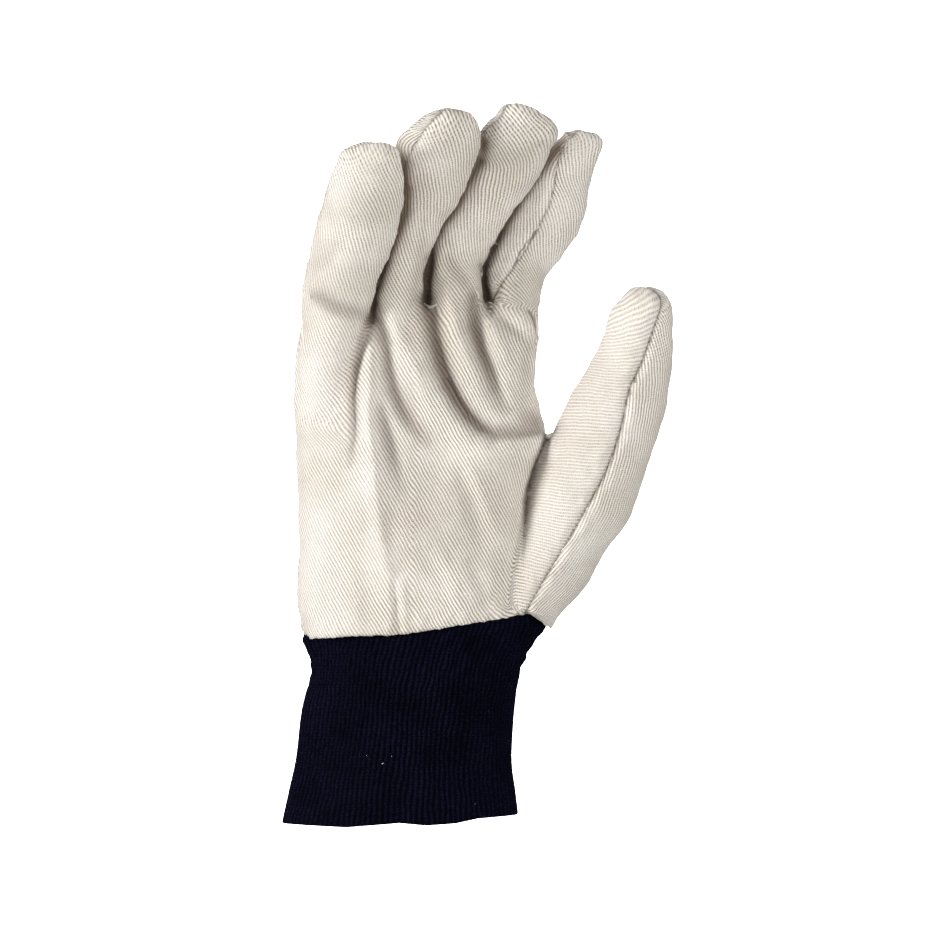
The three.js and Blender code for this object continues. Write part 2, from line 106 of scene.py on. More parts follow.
WRIST_SEAM = table(
    "across height",
    (-0.8, 1.015), (-0.42, 1.015), (-0.38, 0.965), (-0.16, 0.98), (0.02, 0.99), (0.25, 1.035),
    (0.54, 1.095), (0.63, 1.015), (1.0, 0.8),
)
HEM = table(
    "across rise",
    (-0.55, 0.015), (-0.24, 0.0), (0.0, 0.023), (0.12, 0.01), (0.25, 0.02), (0.35, 0.044), (0.55, 0.06),
)
CUFF = table(
    "height left right palm back",
    (-0.01, -0.531, 0.529, -0.54, 0.54),
    (0.28, -0.476, 0.506, -0.49, 0.49),
    (0.6, -0.437, 0.512, -0.465, 0.46),
    (0.82, -0.388, 0.53, -0.455, 0.45),
    (0.97, -0.408, 0.62, -0.4, 0.385),
    (1.04, -0.405, 0.655, -0.39, 0.375),
    (1.1, -0.4, 0.65, -0.39, 0.375),
)
PALM = table(
    "height left right palm back seam",
    (-0.14, -0.38, 0.56, -0.53, 0.51, 0.5),
    (0.0, -0.405, 0.59, -0.55, 0.53, 0.51),
    (0.08, -0.426, 0.53, -0.56, 0.53, 0.53),
    (0.19, -0.42, 0.525, -0.55, 0.51, 0.55),
    (0.34, -0.418, 0.523, -0.53, 0.48, 0.55),
    (0.46, -0.426, 0.54, -0.505, 0.45, 0.57),
    (0.58, -0.438, 0.612, -0.475, 0.42, 0.63),
    (0.66, -0.442, 0.595, -0.445, 0.4, 0.62),
    (0.76, -0.442, 0.572, -0.4, 0.38, 0.6),
    (0.86, -0.434, 0.572, -0.33, 0.35, 0.6),
    (0.93, -0.42, 0.572, -0.24, 0.28, 0.6),
    (0.975, -0.4, 0.55, -0.16, 0.18, 0.6),
    (1.0, -0.3, 0.46, -0.06, 0.06, 0.6),
)
LIMB_COLUMNS = "up side fore wide deep roll"
LITTLE = table(
    LIMB_COLUMNS,
    (-0.6, -0.04, 0.02, 0.7, 1.2, 0), (-0.3, -0.02, 0.05, 0.8, 1.3, 0), (0.0, 0.0, 0.11, 0.84, 1.2, 0),
    (0.19, 0.04, 0.22, 0.9, 1.08, 0), (0.36, 0.1, 0.33, 0.98, 1.02, 0), (0.52, 0.15, 0.43, 1.0, 0.98, 4),
    (0.66, 0.17, 0.52, 0.96, 0.94, 8), (0.76, 0.175, 0.59, 0.88, 0.85, 10),
    (0.83, 0.17, 0.645, 0.72, 0.6, 10), (0.86, 0.165, 0.67, 0.36, 0.2, 10),
)
RING = table(
    LIMB_COLUMNS,
    (-0.5, 0.0, 0.0, 0.58, 1.15, 0), (-0.25, 0.0, 0.01, 0.62, 1.3, 0), (0.0, 0.0, 0.0, 0.66, 1.26, 0),
    (0.2, 0.008, 0.05, 0.67, 1.08, -4), (0.41, 0.064, 0.11, 0.78, 1.0, -6),
    (0.57, 0.137, 0.175, 0.93, 0.95, 0),
    (0.7, 0.18, 0.26, 1.05, 0.92, 8), (0.79, 0.2, 0.33, 1.02, 0.82, 14),
    (0.85, 0.205, 0.39, 0.8, 0.6, 16), (0.88, 0.205, 0.42, 0.36, 0.2, 16),
)
MIDDLE = table(
    LIMB_COLUMNS,
    (-0.45, 0.0, 0.0, 0.58, 1.1, 0), (-0.22, 0.0, 0.0, 0.64, 1.26, 0), (0.0, -0.015, -0.03, 0.72, 1.22, 0),
    (0.18, -0.027, -0.065, 0.73, 1.06, -4), (0.37, 0.05, -0.08, 0.81, 0.98, -6),
    (0.53, 0.138, -0.05, 0.91, 0.94, 2), (0.66, 0.22, 0.03, 1.0, 0.92, 10),
    (0.745, 0.24, 0.13, 0.98, 0.84, 14), (0.805, 0.222, 0.19, 0.76, 0.6, 16),
    (0.84, 0.205, 0.22, 0.34, 0.2, 16),
)
INDEX = table(
    LIMB_COLUMNS,
    (-0.5, -0.01, -0.02, 0.6, 1.05, 0), (-0.25, -0.01, -0.03, 0.66, 1.15, 2),
    (0.0, -0.02, -0.12, 0.74, 1.1, 4), (0.2, 0.0, -0.2, 0.84, 1.0, 10),
    (0.37, 0.106, -0.26, 0.93, 0.94, 16), (0.51, 0.182, -0.275, 0.94, 0.9, 20),
    (0.64, 0.23, -0.26, 0.88, 0.84, 24), (0.74, 0.29, -0.23, 0.75, 0.72, 24),
    (0.8, 0.335, -0.21, 0.6, 0.5, 22), (0.83, 0.345, -0.2, 0.3, 0.2, 20),
)
THUMB = table(
    LIMB_COLUMNS + " outer inner",
    (-0.06, -0.075, 0.0, 0.66, 0.95, 0, -72, -180), (0.09, 0.0, -0.01, 0.93, 1.05, 0, -78, -180),
    (0.21, 0.075, -0.01, 1.03, 1.1, 0, -83, -180), (0.31, 0.13, 0.0, 1.1, 1.08, 0, -83, -190),
    (0.45, 0.188, 0.02, 1.08, 1.0, 0, -78, -215), (0.57, 0.233, 0.04, 1.0, 0.95, 0, -79, -240),
    (0.67, 0.275, 0.06, 0.88, 0.88, 0, -88, -250), (0.76, 0.3, 0.085, 0.76, 0.82, 0, -78, -255),
    (0.84, 0.31, 0.105, 0.64, 0.7, 0, -62, -250), (0.89, 0.32, 0.115, 0.46, 0.48, 0, -50, -240),
    (0.91, 0.322, 0.118, 0.12, 0.12, 0, -50, -240),
)


def limb(name, across, height, length, width, depth, sections, over_tip=(0, 0), seam=()):
    return dict(name=name, across=across, height=height, length=length, width=width, depth=depth,
                sections=sections, over_tip=over_tip, seam=seam)


# Over_tip is how far the palm's cloth laps over a tip at its left and right. Seam is where the left seam
# shows on the palm side, from its top down, as places across and up in millimetres.
FINGERS = [
    limb("little", -0.27, 0.99, 0.066, FINGER_WIDTH, FINGER_DEPTH, LITTLE, (0.004, 0.004)),
    limb("ring", -0.012, 0.99, 0.078, FINGER_WIDTH, FINGER_DEPTH, RING, (0.0, 0.004),
         [(15.6, 256.8), (9.3, 250.5), (6.0, 245.0), (2.2, 238.3), (-1.0, 230.0), (-90.0, 229.0)]),
    limb("middle", 0.241, 0.99, 0.084, FINGER_WIDTH, FINGER_DEPTH, MIDDLE, (0.0, 0.004),
         [(40.4, 259.6), (36.9, 255.5), (31.5, 251.6), (26.0, 247.0), (-90.0, 246.0)]),
    limb("index", 0.474, 0.99, 0.076, FINGER_WIDTH, FINGER_DEPTH, INDEX, (0.0, 0.003),
         [(63.0, 249.6), (58.4, 245.5), (56.7, 238.9), (56.2, 232.3), (54.0, 223.6), (51.2, 218.5),
          (49.0, 213.6), (44.0, 205.5), (37.5, 197.0), (31.5, 187.0), (-90.0, 186.0)]),
]
THUMB_LIMB = limb("thumb", 0.52, 0.0, 0.136, THUMB_WIDTH, THUMB_DEPTH, THUMB)
LIMBS = FINGERS + [THUMB_LIMB]

# Folds of the palm side in millimetres: points across and up, half width, how far out the cloth stands, and
# how much more it stands out to the left of the way from the first point to the last.
FOLDS = [
    ([(-10.8, 181.4), (-12.2, 176.8), (-13.7, 171.4), (-15.5, 164.2), (-16.2, 155.2), (-15.7, 146.2),
      (-15.8, 139.0), (-16.9, 130.0)], 1.7, -3.4, 0.3),
    ([(-15.0, 174.0), (-19.0, 158.0), (-19.5, 140.0), (-20.0, 122.0)], 3.6, -1.0, 0.0),
    ([(-11.0, 172.0), (-11.4, 152.0), (-10.4, 139.0), (-9.0, 124.0), (-7.5, 108.0), (-5.0, 94.0),
      (-2.5, 84.0)], 2.6, 2.6, 0.0),
    ([(2.0, 152.0), (8.0, 118.0), (14.0, 86.0)], 11.0, -1.5, 0.0),
    ([(-7.7, 149.4), (-5.2, 140.8), (-2.3, 131.8), (1.0, 122.0)], 2.8, -2.4, 0.0),
    ([(-9.4, 183.0), (-5.4, 173.2), (-4.0, 164.2), (-2.2, 157.0), (1.0, 149.8), (5.2, 144.0),
      (10.8, 139.0)], 2.6, -3.4, 0.0),
    ([(-3.6, 184.3), (-0.2, 176.8), (4.2, 167.8), (8.3, 157.0), (11.5, 146.2)], 2.8, 1.2, 0.0),
    ([(9.0, 189.4), (11.4, 182.2), (13.3, 173.2), (15.1, 166.0), (17.8, 158.8), (20.7, 153.4),
      (24.1, 148.3), (28.8, 143.6), (34.2, 141.0), (41.4, 141.6), (48.6, 142.8), (53.5, 143.2)],
     3.2, -5.0, 0.0),
    ([(17.0, 160.5), (20.2, 154.0), (24.1, 148.0), (29.0, 143.2), (34.0, 140.6)], 1.1, -1.6, 0.0),
    ([(18.0, 187.6), (21.6, 176.8), (25.2, 168.0), (28.0, 161.0)], 2.8, 1.8, 0.0),
    ([(25.9, 189.4), (26.5, 180.4), (28.8, 171.4), (31.7, 164.2), (34.3, 157.0), (38.0, 150.5)],
     2.6, -4.4, 0.0),
    ([(31.5, 184.3), (35.8, 174.6), (39.8, 165.8), (43.5, 158.5)], 2.8, 1.4, 0.0),
    ([(33.0, 186.0), (38.0, 181.0), (43.2, 176.8), (47.5, 172.0)], 2.0, -2.0, 0.0),
    ([(46.0, 171.0), (45.2, 161.0), (44.0, 153.0)], 2.6, -1.6, 0.0),
    ([(55.0, 145.5), (49.0, 146.5), (42.0, 149.0)], 3.4, -3.0, 0.0),
    ([(55.0, 142.4), (50.0, 141.4), (44.6, 140.0), (35.0, 139.2)], 1.4, -1.4, 0.4),
    ([(53.6, 135.0), (44.0, 133.4), (32.0, 134.6), (22.0, 138.0)], 4.0, 2.0, 0.0),
    ([(26.0, 128.0), (33.0, 113.0), (41.0, 95.0)], 2.4, 0.8, 0.0),
    ([(22.0, 126.0), (27.0, 110.0), (30.0, 92.0)], 3.0, -0.8, 0.0),
    ([(-2.2, 86.8), (-1.1, 79.6), (-0.4, 66.0)], 1.3, -1.3, 0.0),
    ([(1.1, 87.5), (1.4, 79.6), (2.2, 66.0)], 1.6, 0.8, 0.0),
    ([(-29.5, 189.4), (-22.7, 185.8), (-18.0, 184.5), (-11.5, 182.2)], 3.1, -3.0, -0.6),
    ([(-14.0, 91.4), (-12.2, 82.8), (-11.2, 70.0)], 3.0, -0.9, 0.0),
    ([(25.2, 94.7), (29.2, 85.0), (31.0, 72.0)], 2.5, -0.9, 0.0),
    ([(14.0, 98.0), (19.0, 88.0), (22.0, 74.0)], 3.0, 0.7, 0.0),
    ([(33.0, 250.1), (29.1, 239.2), (26.7, 232.2), (23.0, 222.0)], 2.4, -1.6, 0.0),
    ([(8.5, 217.0), (7.0, 200.0), (4.0, 186.0)], 1.8, -1.4, 0.0),
    ([(16.0, 215.0), (21.0, 209.0), (27.0, 207.0)], 2.4, 1.2, 0.0),
    ([(17.0, 204.0), (22.0, 197.0), (27.5, 190.0)], 1.8, -1.8, 0.0),
    ([(13.5, 200.0), (16.5, 194.0), (18.0, 187.0)], 1.8, 1.4, 0.0),
    ([(60.0, 219.0), (51.0, 209.0), (48.0, 192.0)], 2.6, 1.0, 0.0),
    ([(44.0, 203.0), (42.0, 195.0), (43.5, 186.0)], 2.2, -1.0, 0.0),
    ([(-33.0, 199.0), (-26.0, 203.0), (-18.0, 213.0)], 3.2, -1.1, 0.0),
    ([(-28.0, 240.0), (-20.0, 228.0), (-17.0, 212.0)], 3.6, 0.8, 0.0),
]

# Slots at the crotches of the fingers, laid out as the folds are. The cloth sinks in there, and shade is
# painted on it.
SLOTS = [
    ([(-9.2, 187.8), (-9.8, 185.8), (-10.4, 182.8)], 1.6, -3.4, 0.0),
    ([(10.2, 204.4), (9.8, 197.0), (9.4, 188.8)], 1.5, -4.5, 0.0),
    ([(29.2, 201.6), (30.5, 193.3), (31.8, 184.6)], 1.5, -4.5, 0.0),
]

# Painted shade where a finger stands before the next one and shades it: places across and up from the top
# down
CONTACTS = [
    [(-2.0, 245.0), (1.8, 238.0), (2.7, 229.0), (2.2, 220.0), (-0.7, 212.8), (-4.0, 205.6), (-6.8, 198.4),
     (-8.6, 191.2), (-9.7, 185.4)],
    [(30.4, 246.0), (29.4, 239.0), (25.6, 230.8), (20.8, 222.8), (15.9, 216.7), (11.9, 209.9), (10.3, 203.0),
     (9.7, 194.8), (8.8, 188.3)],
    [(56.9, 244.1), (52.2, 238.0), (43.2, 225.4), (37.8, 216.4), (33.8, 208.4), (30.2, 200.9), (30.6, 194.8),
     (31.7, 189.4), (32.0, 185.4)],
]

# Painted shade in the hollows of the palm: middle across and up, radii across and up, and how dark
HOLLOWS = [(0.024, 0.167, 0.026, 0.023, 0.19), (0.018, 0.1, 0.022, 0.026, 0.08)]

# Where the outline is eased out or in, in millimetres: place across and up, radius, and the move
EASED = [
    ((50.0, 258.0), 5.5, (-0.1, -1.8)), ((39.5, 259.0), 3.5, (-1.4, 0.8)), ((55.0, 250.0), 5.0, (1.8, -0.6)),
    ((-22.3, 238.0), 7.0, (1.2, 0.0)),
    ((4.0, 253.5), 5.0, (0.8, -0.9)), ((69.5, 230.0), 11.0, (-1.1, 0.0)), ((65.0, 251.0), 4.5, (0.0, 0.7)),
    ((78.0, 191.0), 5.0, (1.2, -0.9)), ((97.0, 186.0), 7.0, (0.9, 0.3)), ((97.0, 152.0), 11.0, (0.8, 0.0)),
    ((77.0, 97.0), 13.0, (-1.9, 1.2)), ((60.0, 74.0), 10.0, (-2.4, 0.0)), ((26.5, 231.0), 7.0, (-1.2, 0.0)),
]


# ---- Shape of the hand ----

def rows_at(sections, t):
    """The values of a table at t, from 0 to 1, on a smooth curve through its rows."""
    names, rows = sections
    last = len(rows) - 1
    place = np.clip(t, 0, 1) * last
    i = np.minimum(place.astype(int), last - 1)
    f = (place - i)[:, None]
    a, b, c, d = rows[np.maximum(i - 1, 0)], rows[i], rows[i + 1], rows[np.minimum(i + 2, last)]
    found = 0.5 * (2 * b + f * (c - a + f * (2 * a - 5 * b + 4 * c - d + f * (3 * b - a - 3 * c + d))))
    return {name: found[:, k] for k, name in enumerate(names)}


def dot(a, b):
    return (a * b).sum(-1)


def unit(a):
    return a / np.maximum(np.linalg.norm(a, axis=-1, keepdims=True), 1e-12)


def ease(low, high, value):
    share = np.clip((value - low) / (high - low), 0, 1)
    return share * share * (3 - 2 * share)


def bell(distance, width):
    """1 at no distance, falling off smoothly within about this width."""
    return np.exp(-(distance / width) ** 2)


def centre_at(part, t):
    row = rows_at(part["sections"], t)
    length = part["length"]
    x = part["across"] * PALM_WIDTH + row["side"] * length
    z = CUFF_LENGTH + part["height"] * PALM_LENGTH + row["up"] * length
    return np.stack([x, -row["fore"] * length, z], 1)


def limb_frame(part, t):
    step = 0.02
    ahead = unit(centre_at(part, np.minimum(t + step, 1)) - centre_at(part, np.maximum(t - step, 0)))
    sideways = unit(np.array([1.0, 0, 0]) - ahead * ahead[:, :1])
    row = rows_at(part["sections"], t)
    roll = np.radians(row["roll"])[:, None]
    sideways = sideways * np.cos(roll) + np.cross(ahead, sideways) * np.sin(roll)
    return dict(
        row=row, centre=centre_at(part, t), ahead=ahead, sideways=sideways,
        backward=np.cross(ahead, sideways),
        half_width=np.maximum(row["wide"] * part["width"] / 2, 0.0004),
        half_depth=np.maximum(row["deep"] * part["depth"] / 2, 0.0004),
    )


def limb_surface(part, t, angle):
    at = limb_frame(part, t)
    lens = np.sign(np.sin(angle)) * np.abs(np.sin(angle)) ** LENS_SHAPE
    return (at["centre"] + at["sideways"] * (at["half_width"] * np.cos(angle))[:, None]
            + at["backward"] * (at["half_depth"] * lens)[:, None])


def tube_surface(row, width, depth, height, angle, square):
    half = (row["right"] - row["left"]) * width / 2
    middle = (row["right"] + row["left"]) * width / 2
    cos, sin = np.cos(angle), np.sin(angle)
    reach = np.where(sin < 0, -row["palm"], row["back"]) * depth
    x = middle + half * np.sign(cos) * np.abs(cos) ** square
    return np.stack([x, reach * np.sign(sin) * np.abs(sin) ** square, height], 1)


def palm_surface(t, angle):
    row = rows_at(PALM, t)
    height = CUFF_LENGTH + row["height"] * PALM_LENGTH
    return tube_surface(row, PALM_WIDTH, PALM_DEPTH, height, angle, PALM_SQUARE)


# ---- Work on meshes ----

def set_down():
    """Out of edit mode, with nothing selected."""
    if bpy.context.object and bpy.context.object.mode != "OBJECT":
        bpy.ops.object.mode_set(mode="OBJECT")
    bpy.ops.object.select_all(action="DESELECT")


def take_up(piece):
    set_down()
    piece.select_set(True)
    bpy.context.view_layer.objects.active = piece


def read_all(items, key, width=1, kind=float):
    """One value or row of values for each item of a mesh."""
    flat = np.empty(len(items) * width, kind)
    items.foreach_get(key, flat)
    return flat.reshape(-1, width) if width > 1 else flat


def write_attribute(piece, name, kind, values):
    attribute = piece.data.attributes.new(name, kind, "POINT")
    key = "vector" if kind == "FLOAT2" else "value"
    attribute.data.foreach_set(key, np.ascontiguousarray(values).ravel())


def write_uv(piece, name, places):
    layer = piece.data.uv_layers.new(name=name)
    layer.data.foreach_set("uv", np.ascontiguousarray(places).ravel())


def points_of(piece):
    return read_all(piece.data.vertices, "co", 3)


def move_points(piece, points):
    piece.data.vertices.foreach_set("co", np.ascontiguousarray(points).ravel())
    piece.data.update()


def corners_of(piece):
    """The three points of each face of a mesh of triangles."""
    return read_all(piece.data.polygons, "vertices", 3, int)


def apply_modifier(piece, kind, **settings):
    take_up(piece)
    modifier = piece.modifiers.new(kind.title(), kind)
    for key, value in settings.items():
        setattr(modifier, key, value)
    bpy.ops.object.modifier_apply(modifier=modifier.name)


def select_edges(piece, chosen):
    """In edit mode, select just the edges that pass a test."""
    bpy.ops.mesh.select_mode(type="EDGE")
    bpy.ops.mesh.select_all(action="DESELECT")
    mesh = bmesh.from_edit_mesh(piece.data)
    for edge in mesh.edges:
        edge.select_set(chosen(edge))
    bmesh.update_edit_mesh(piece.data)


def tube_blank(name, sides, rows, ends):
    """A tube one high and one in radius, cut into rows along its length."""
    set_down()
    bpy.ops.mesh.primitive_cylinder_add(vertices=sides, radius=1, depth=1, end_fill_type=ends)
    piece = bpy.context.object
    piece.name = name
    bpy.ops.object.mode_set(mode="EDIT")
    select_edges(piece, lambda edge: abs(edge.verts[0].co.z - edge.verts[1].co.z) > 0.5)
    bpy.ops.mesh.subdivide(number_cuts=rows - 1)
    bpy.ops.object.mode_set(mode="OBJECT")
    return piece


def tube_places(piece):
    """For each point of a blank tube, how far up it is from 0 to 1, and its angle."""
    points = points_of(piece)
    return points[:, 2] + 0.5, np.arctan2(points[:, 1], points[:, 0])


def join(pieces):
    set_down()
    for piece in pieces:
        piece.select_set(True)
    bpy.context.view_layer.objects.active = pieces[0]
    bpy.ops.object.join()
    return pieces[0]


def select_faces(piece, chosen):
    """Into edit mode, with just these faces selected."""
    take_up(piece)
    data = piece.data
    data.vertices.foreach_set("select", np.zeros(len(data.vertices), bool))
    data.edges.foreach_set("select", np.zeros(len(data.edges), bool))
    data.polygons.foreach_set("select", np.ascontiguousarray(chosen, bool))
    bpy.context.tool_settings.mesh_select_mode = (False, False, True)
    bpy.ops.object.mode_set(mode="EDIT")


def smooth_shade(piece):
    take_up(piece)
    bpy.ops.object.shade_smooth()


def waves(points, size, seed, count=14):
    """Smooth uneven heights from about -1 to 1, with swells of about this size."""
    rng = np.random.default_rng(seed)
    heights = np.zeros(len(points))
    for _ in range(count):
        way = unit(rng.normal(size=3)) * rng.uniform(0.6, 1.4) * 2 * math.pi / size
        heights += np.sin(points @ way + rng.uniform(0, 2 * math.pi))
    return heights / math.sqrt(count)


# ---- Canvas body ----

# Sides and rows of the blanks
LIMB_GRID, PALM_GRID = (56, 56), (144, 80)


def hand_form():
    """Palm, fingers and thumb as one closed skin."""
    pieces = []
    for part in LIMBS:
        blank = tube_blank("canvas_" + part["name"], *LIMB_GRID, "NGON")
        move_points(blank, limb_surface(part, *tube_places(blank)))
        pieces.append(blank)
    palm = tube_blank("canvas_palm", *PALM_GRID, "NGON")
    move_points(palm, palm_surface(*tube_places(palm)))
    body = join([palm] + pieces)
    apply_modifier(body, "REMESH", mode="VOXEL", voxel_size=REMESH_VOXEL)
    return body


def limb_place(part, points):
    """Where points are on a limb: how far along, the angle round it, and how far out of its surface."""
    samples = np.linspace(0, 1, 101)
    line = centre_at(part, samples)
    t = np.empty(len(points))
    for first in range(0, len(points), 4000):
        away = ((points[first:first + 4000, None] - line[None]) ** 2).sum(2)
        t[first:first + 4000] = samples[away.argmin(1)]
    for _ in range(2):
        at = limb_frame(part, t)
        speed = np.linalg.norm(centre_at(part, t + 0.004) - centre_at(part, t - 0.004), axis=1) / 0.008
        t = np.clip(t + dot(points - at["centre"], at["ahead"]) / np.maximum(speed, 1e-4), 0.001, 0.999)
    at = limb_frame(part, t)
    offset = points - at["centre"]
    a, b, past = (dot(offset, at[key]) for key in ("sideways", "backward", "ahead"))
    share = np.hypot(a / at["half_width"], b / at["half_depth"])
    radius = np.hypot(a, b)
    out = radius * (1 - 1 / np.maximum(share, 1e-6))
    out = np.maximum(out, np.abs(past) - 0.0012)
    angle = np.arctan2(b / at["half_depth"], a / at["half_width"])
    return dict(t=t, angle=angle, out=out, radius=radius, row=at["row"], sideways=a)


def palm_place(points):
    samples = np.linspace(0, 1, 400)
    heights = CUFF_LENGTH + rows_at(PALM, samples)["height"] * PALM_LENGTH
    t = np.interp(points[:, 2], heights, samples)
    row = rows_at(PALM, t)
    half = (row["right"] - row["left"]) * PALM_WIDTH / 2
    across = points[:, 0] - (row["right"] + row["left"]) * PALM_WIDTH / 2
    reach = np.where(points[:, 1] < 0, -row["palm"], row["back"]) * PALM_DEPTH
    power = 2 / PALM_SQUARE
    share = ((np.abs(across) / half) ** power + (np.abs(points[:, 1]) / reach) ** power) ** (1 / power)
    radius = np.hypot(across, points[:, 1])
    out = radius * (1 - 1 / np.maximum(share, 1e-6))
    out = np.maximum(out, points[:, 2] - heights[-1])
    angle = np.arctan2(np.sign(points[:, 1]) * (np.abs(points[:, 1]) / reach) ** (1 / PALM_SQUARE),
                       np.sign(across) * (np.abs(across) / half) ** (1 / PALM_SQUARE))
    return dict(t=t, angle=angle, out=out, row=row)


ARC_ROWS, ARC_STEPS = 48, 144


def arcs_of(surface):
    """Cloth length round a form from its palm side, by how far along it and by angle from -270 to 90."""
    t, angle = np.meshgrid(np.linspace(0, 1, ARC_ROWS + 1), np.radians(np.linspace(-270, 90, ARC_STEPS + 1)),
                           indexing="ij")
    points = surface(t.ravel(), angle.ravel()).reshape(ARC_ROWS + 1, ARC_STEPS + 1, 3)
    steps = np.linalg.norm(np.diff(points, axis=1), axis=2)
    lengths = np.concatenate([np.zeros((ARC_ROWS + 1, 1)), np.cumsum(steps, axis=1)], axis=1)
    return lengths - lengths[:, ARC_STEPS // 2][:, None]


def arc_at(arcs, t, angle):
    """Cloth length from the middle of the palm side, and from the middle of the back."""
    row = np.clip(t, 0, 1) * ARC_ROWS
    step = (np.degrees(angle) + 270) % 360 / 360 * ARC_STEPS
    i, j = np.minimum(row.astype(int), ARC_ROWS - 1), np.minimum(step.astype(int), ARC_STEPS - 1)
    f, g = row - i, step - j
    front = ((1 - f) * ((1 - g) * arcs[i, j] + g * arcs[i, j + 1])
             + f * ((1 - g) * arcs[i + 1, j] + g * arcs[i + 1, j + 1]))
    left = (1 - f) * arcs[i, 0] + f * arcs[i + 1, 0]
    right = (1 - f) * arcs[i, -1] + f * arcs[i + 1, -1]
    return front, np.where(front > 0, right - front, left - front)


def along_limb(part, t, angle):
    """Cloth length along a limb from its root, on the side at this angle."""
    samples = np.linspace(0, 1, 200)
    line = (limb_surface(part, samples, np.full(200, angle)) + centre_at(part, samples)) / 2
    steps = np.linalg.norm(np.diff(line, axis=0), axis=1) * (1 - 0.55 * ease(0.6, 0.95, samples[1:]))
    lengths = np.concatenate([[0], np.cumsum(steps)])
    root = np.interp(0.0, rows_at(part["sections"], samples)["up"], samples)
    return np.interp(t, samples, lengths) - np.interp(root, samples, lengths)


def lay(across, up, degrees):
    """Places on the cloth, across and along its diagonal lines, which fall to the right by degrees."""
    turn = math.radians(degrees)
    return np.stack([across * math.sin(turn) + up * math.cos(turn),
                     across * math.cos(turn) - up * math.sin(turn)], 1)


# How steeply the twill lines fall to the right, in degrees
PALM_LINES, INDEX_LINES, THUMB_LINES = 60, 44, 19
# How far the thumb's lines are shifted, so that they meet the palm's cloth
THUMB_SHIFT = 0.0595
# The share of a finger's length where its cloth starts to close over the tip
BODY_END = 0.68


def cloth_places(points, spots, palm_spot):
    """Where each point lies on the flat cloth of the palm and of the back."""
    fronts, backs, outs = [], [], []
    for part, spot in zip(LIMBS, spots):
        arcs = arcs_of(lambda t, angle: limb_surface(part, t, angle))
        front, back = arc_at(arcs, spot["t"], spot["angle"])
        body = np.full(len(points), BODY_END)
        lean = np.arcsin(np.clip(spot["sideways"] / limb_frame(part, body)["half_width"], -1, 1))
        cap = ease(-0.08, 0.08, spot["t"] - body) * (part is not THUMB_LIMB)
        front += cap * (arc_at(arcs, body, lean - math.pi / 2)[0] - front)
        up = along_limb(part, spot["t"], -math.pi / 2)
        up_back = along_limb(part, spot["t"], math.pi / 2)
        if part is THUMB_LIMB:
            turn = math.radians(THUMB_LINES)
            across_lines = up * math.cos(turn) - front * math.sin(turn) + THUMB_SHIFT
            fronts.append(np.stack([across_lines, front * math.cos(turn) + up * math.sin(turn)], 1))
            backs.append(np.stack([back, up_back], 1))
        else:
            rows = part["sections"][1]
            root = np.array([np.interp(0.0, rows[:, 0], np.linspace(0, 1, len(rows)))])
            start = centre_at(part, root)
            lines = INDEX_LINES if part["name"] == "index" else PALM_LINES
            fronts.append(lay(start[:, 0], start[:, 2], PALM_LINES) + lay(front, up, lines))
            backs.append(lay(start[:, 0] + back, -start[:, 2] - up_back, PALM_LINES))
        outs.append(spot["out"])
    front, back = arc_at(arcs_of(palm_surface), palm_spot["t"], palm_spot["angle"])
    middle = (palm_spot["row"]["right"] + palm_spot["row"]["left"]) * PALM_WIDTH / 2
    fronts.append(lay(middle + front, points[:, 2], PALM_LINES))
    backs.append(lay(middle + back, -points[:, 2], PALM_LINES))
    outs.append(palm_spot["out"])
    near = np.maximum(np.array(outs), 0)
    near -= near.min(0)
    crease = (ease(0.074, 0.080, points[:, 2]) * ease(0.034, 0.040, points[:, 0])
              * ease(0.162, 0.148, points[:, 2]))
    soft = 0.0045 - 0.004 * crease
    weights = bell(near, soft)
    owner = near.argmin(0)
    for k in range(len(FINGERS)):
        weights[k, (owner < len(FINGERS)) & (owner != k)] = 0
    weights[3] *= ease(0.174, 0.191, points[:, 2])
    weights /= weights.sum(0)
    return (sum(w[:, None] * f for w, f in zip(weights, fronts)),
            sum(w[:, None] * b for w, b in zip(weights, backs)))


def side_of_seam(points, spots, palm_spot):
    """How far each point is inside the cloth of the palm, under 0 on the back panel's cloth."""
    fields, outs = [], []
    for part, spot in zip(LIMBS, spots):
        outer = np.radians(spot["row"].get("outer", np.zeros(len(points))))
        inner = np.radians(spot["row"].get("inner", np.full(len(points), -180.0)))
        turn = (spot["angle"] - (outer + inner) / 2 + math.pi) % (2 * math.pi) - math.pi
        tip = ease(0.62, 0.86, spot["t"])
        left = spot["radius"] * ((outer - inner) / 2 + turn) + part["over_tip"][0] * tip
        right = spot["radius"] * ((outer - inner) / 2 - turn) + part["over_tip"][1] * tip
        if part["seam"]:
            across, up = np.array(part["seam"][::-1]).T * MM
            left = np.minimum(left, 0.8 * (points[:, 0] - np.interp(points[:, 2], up, across)))
        fields.append(np.minimum(left, right))
        outs.append(spot["out"])
    seam = palm_spot["row"]["seam"] * PALM_WIDTH
    fields.append(np.minimum(-points[:, 1], seam - points[:, 0]))
    outs.append(palm_spot["out"])
    fields, outs = np.array(fields), np.array(outs)
    own = outs.argmin(0) == np.arange(len(outs))[:, None]
    return np.where(own, fields, np.minimum(fields, ZONE_PROUD - outs)).max(0)


def over_wrist_seam(points):
    across, height = WRIST_SEAM[1].T
    scallops = 0.00012 * np.sin(points[:, 0] * 2 * math.pi / 0.0027) + 0.00018 * waves(points, 0.005, 41)
    return points[:, 2] - np.interp(points[:, 0] / PALM_WIDTH, across, height) * CUFF_LENGTH + scallops


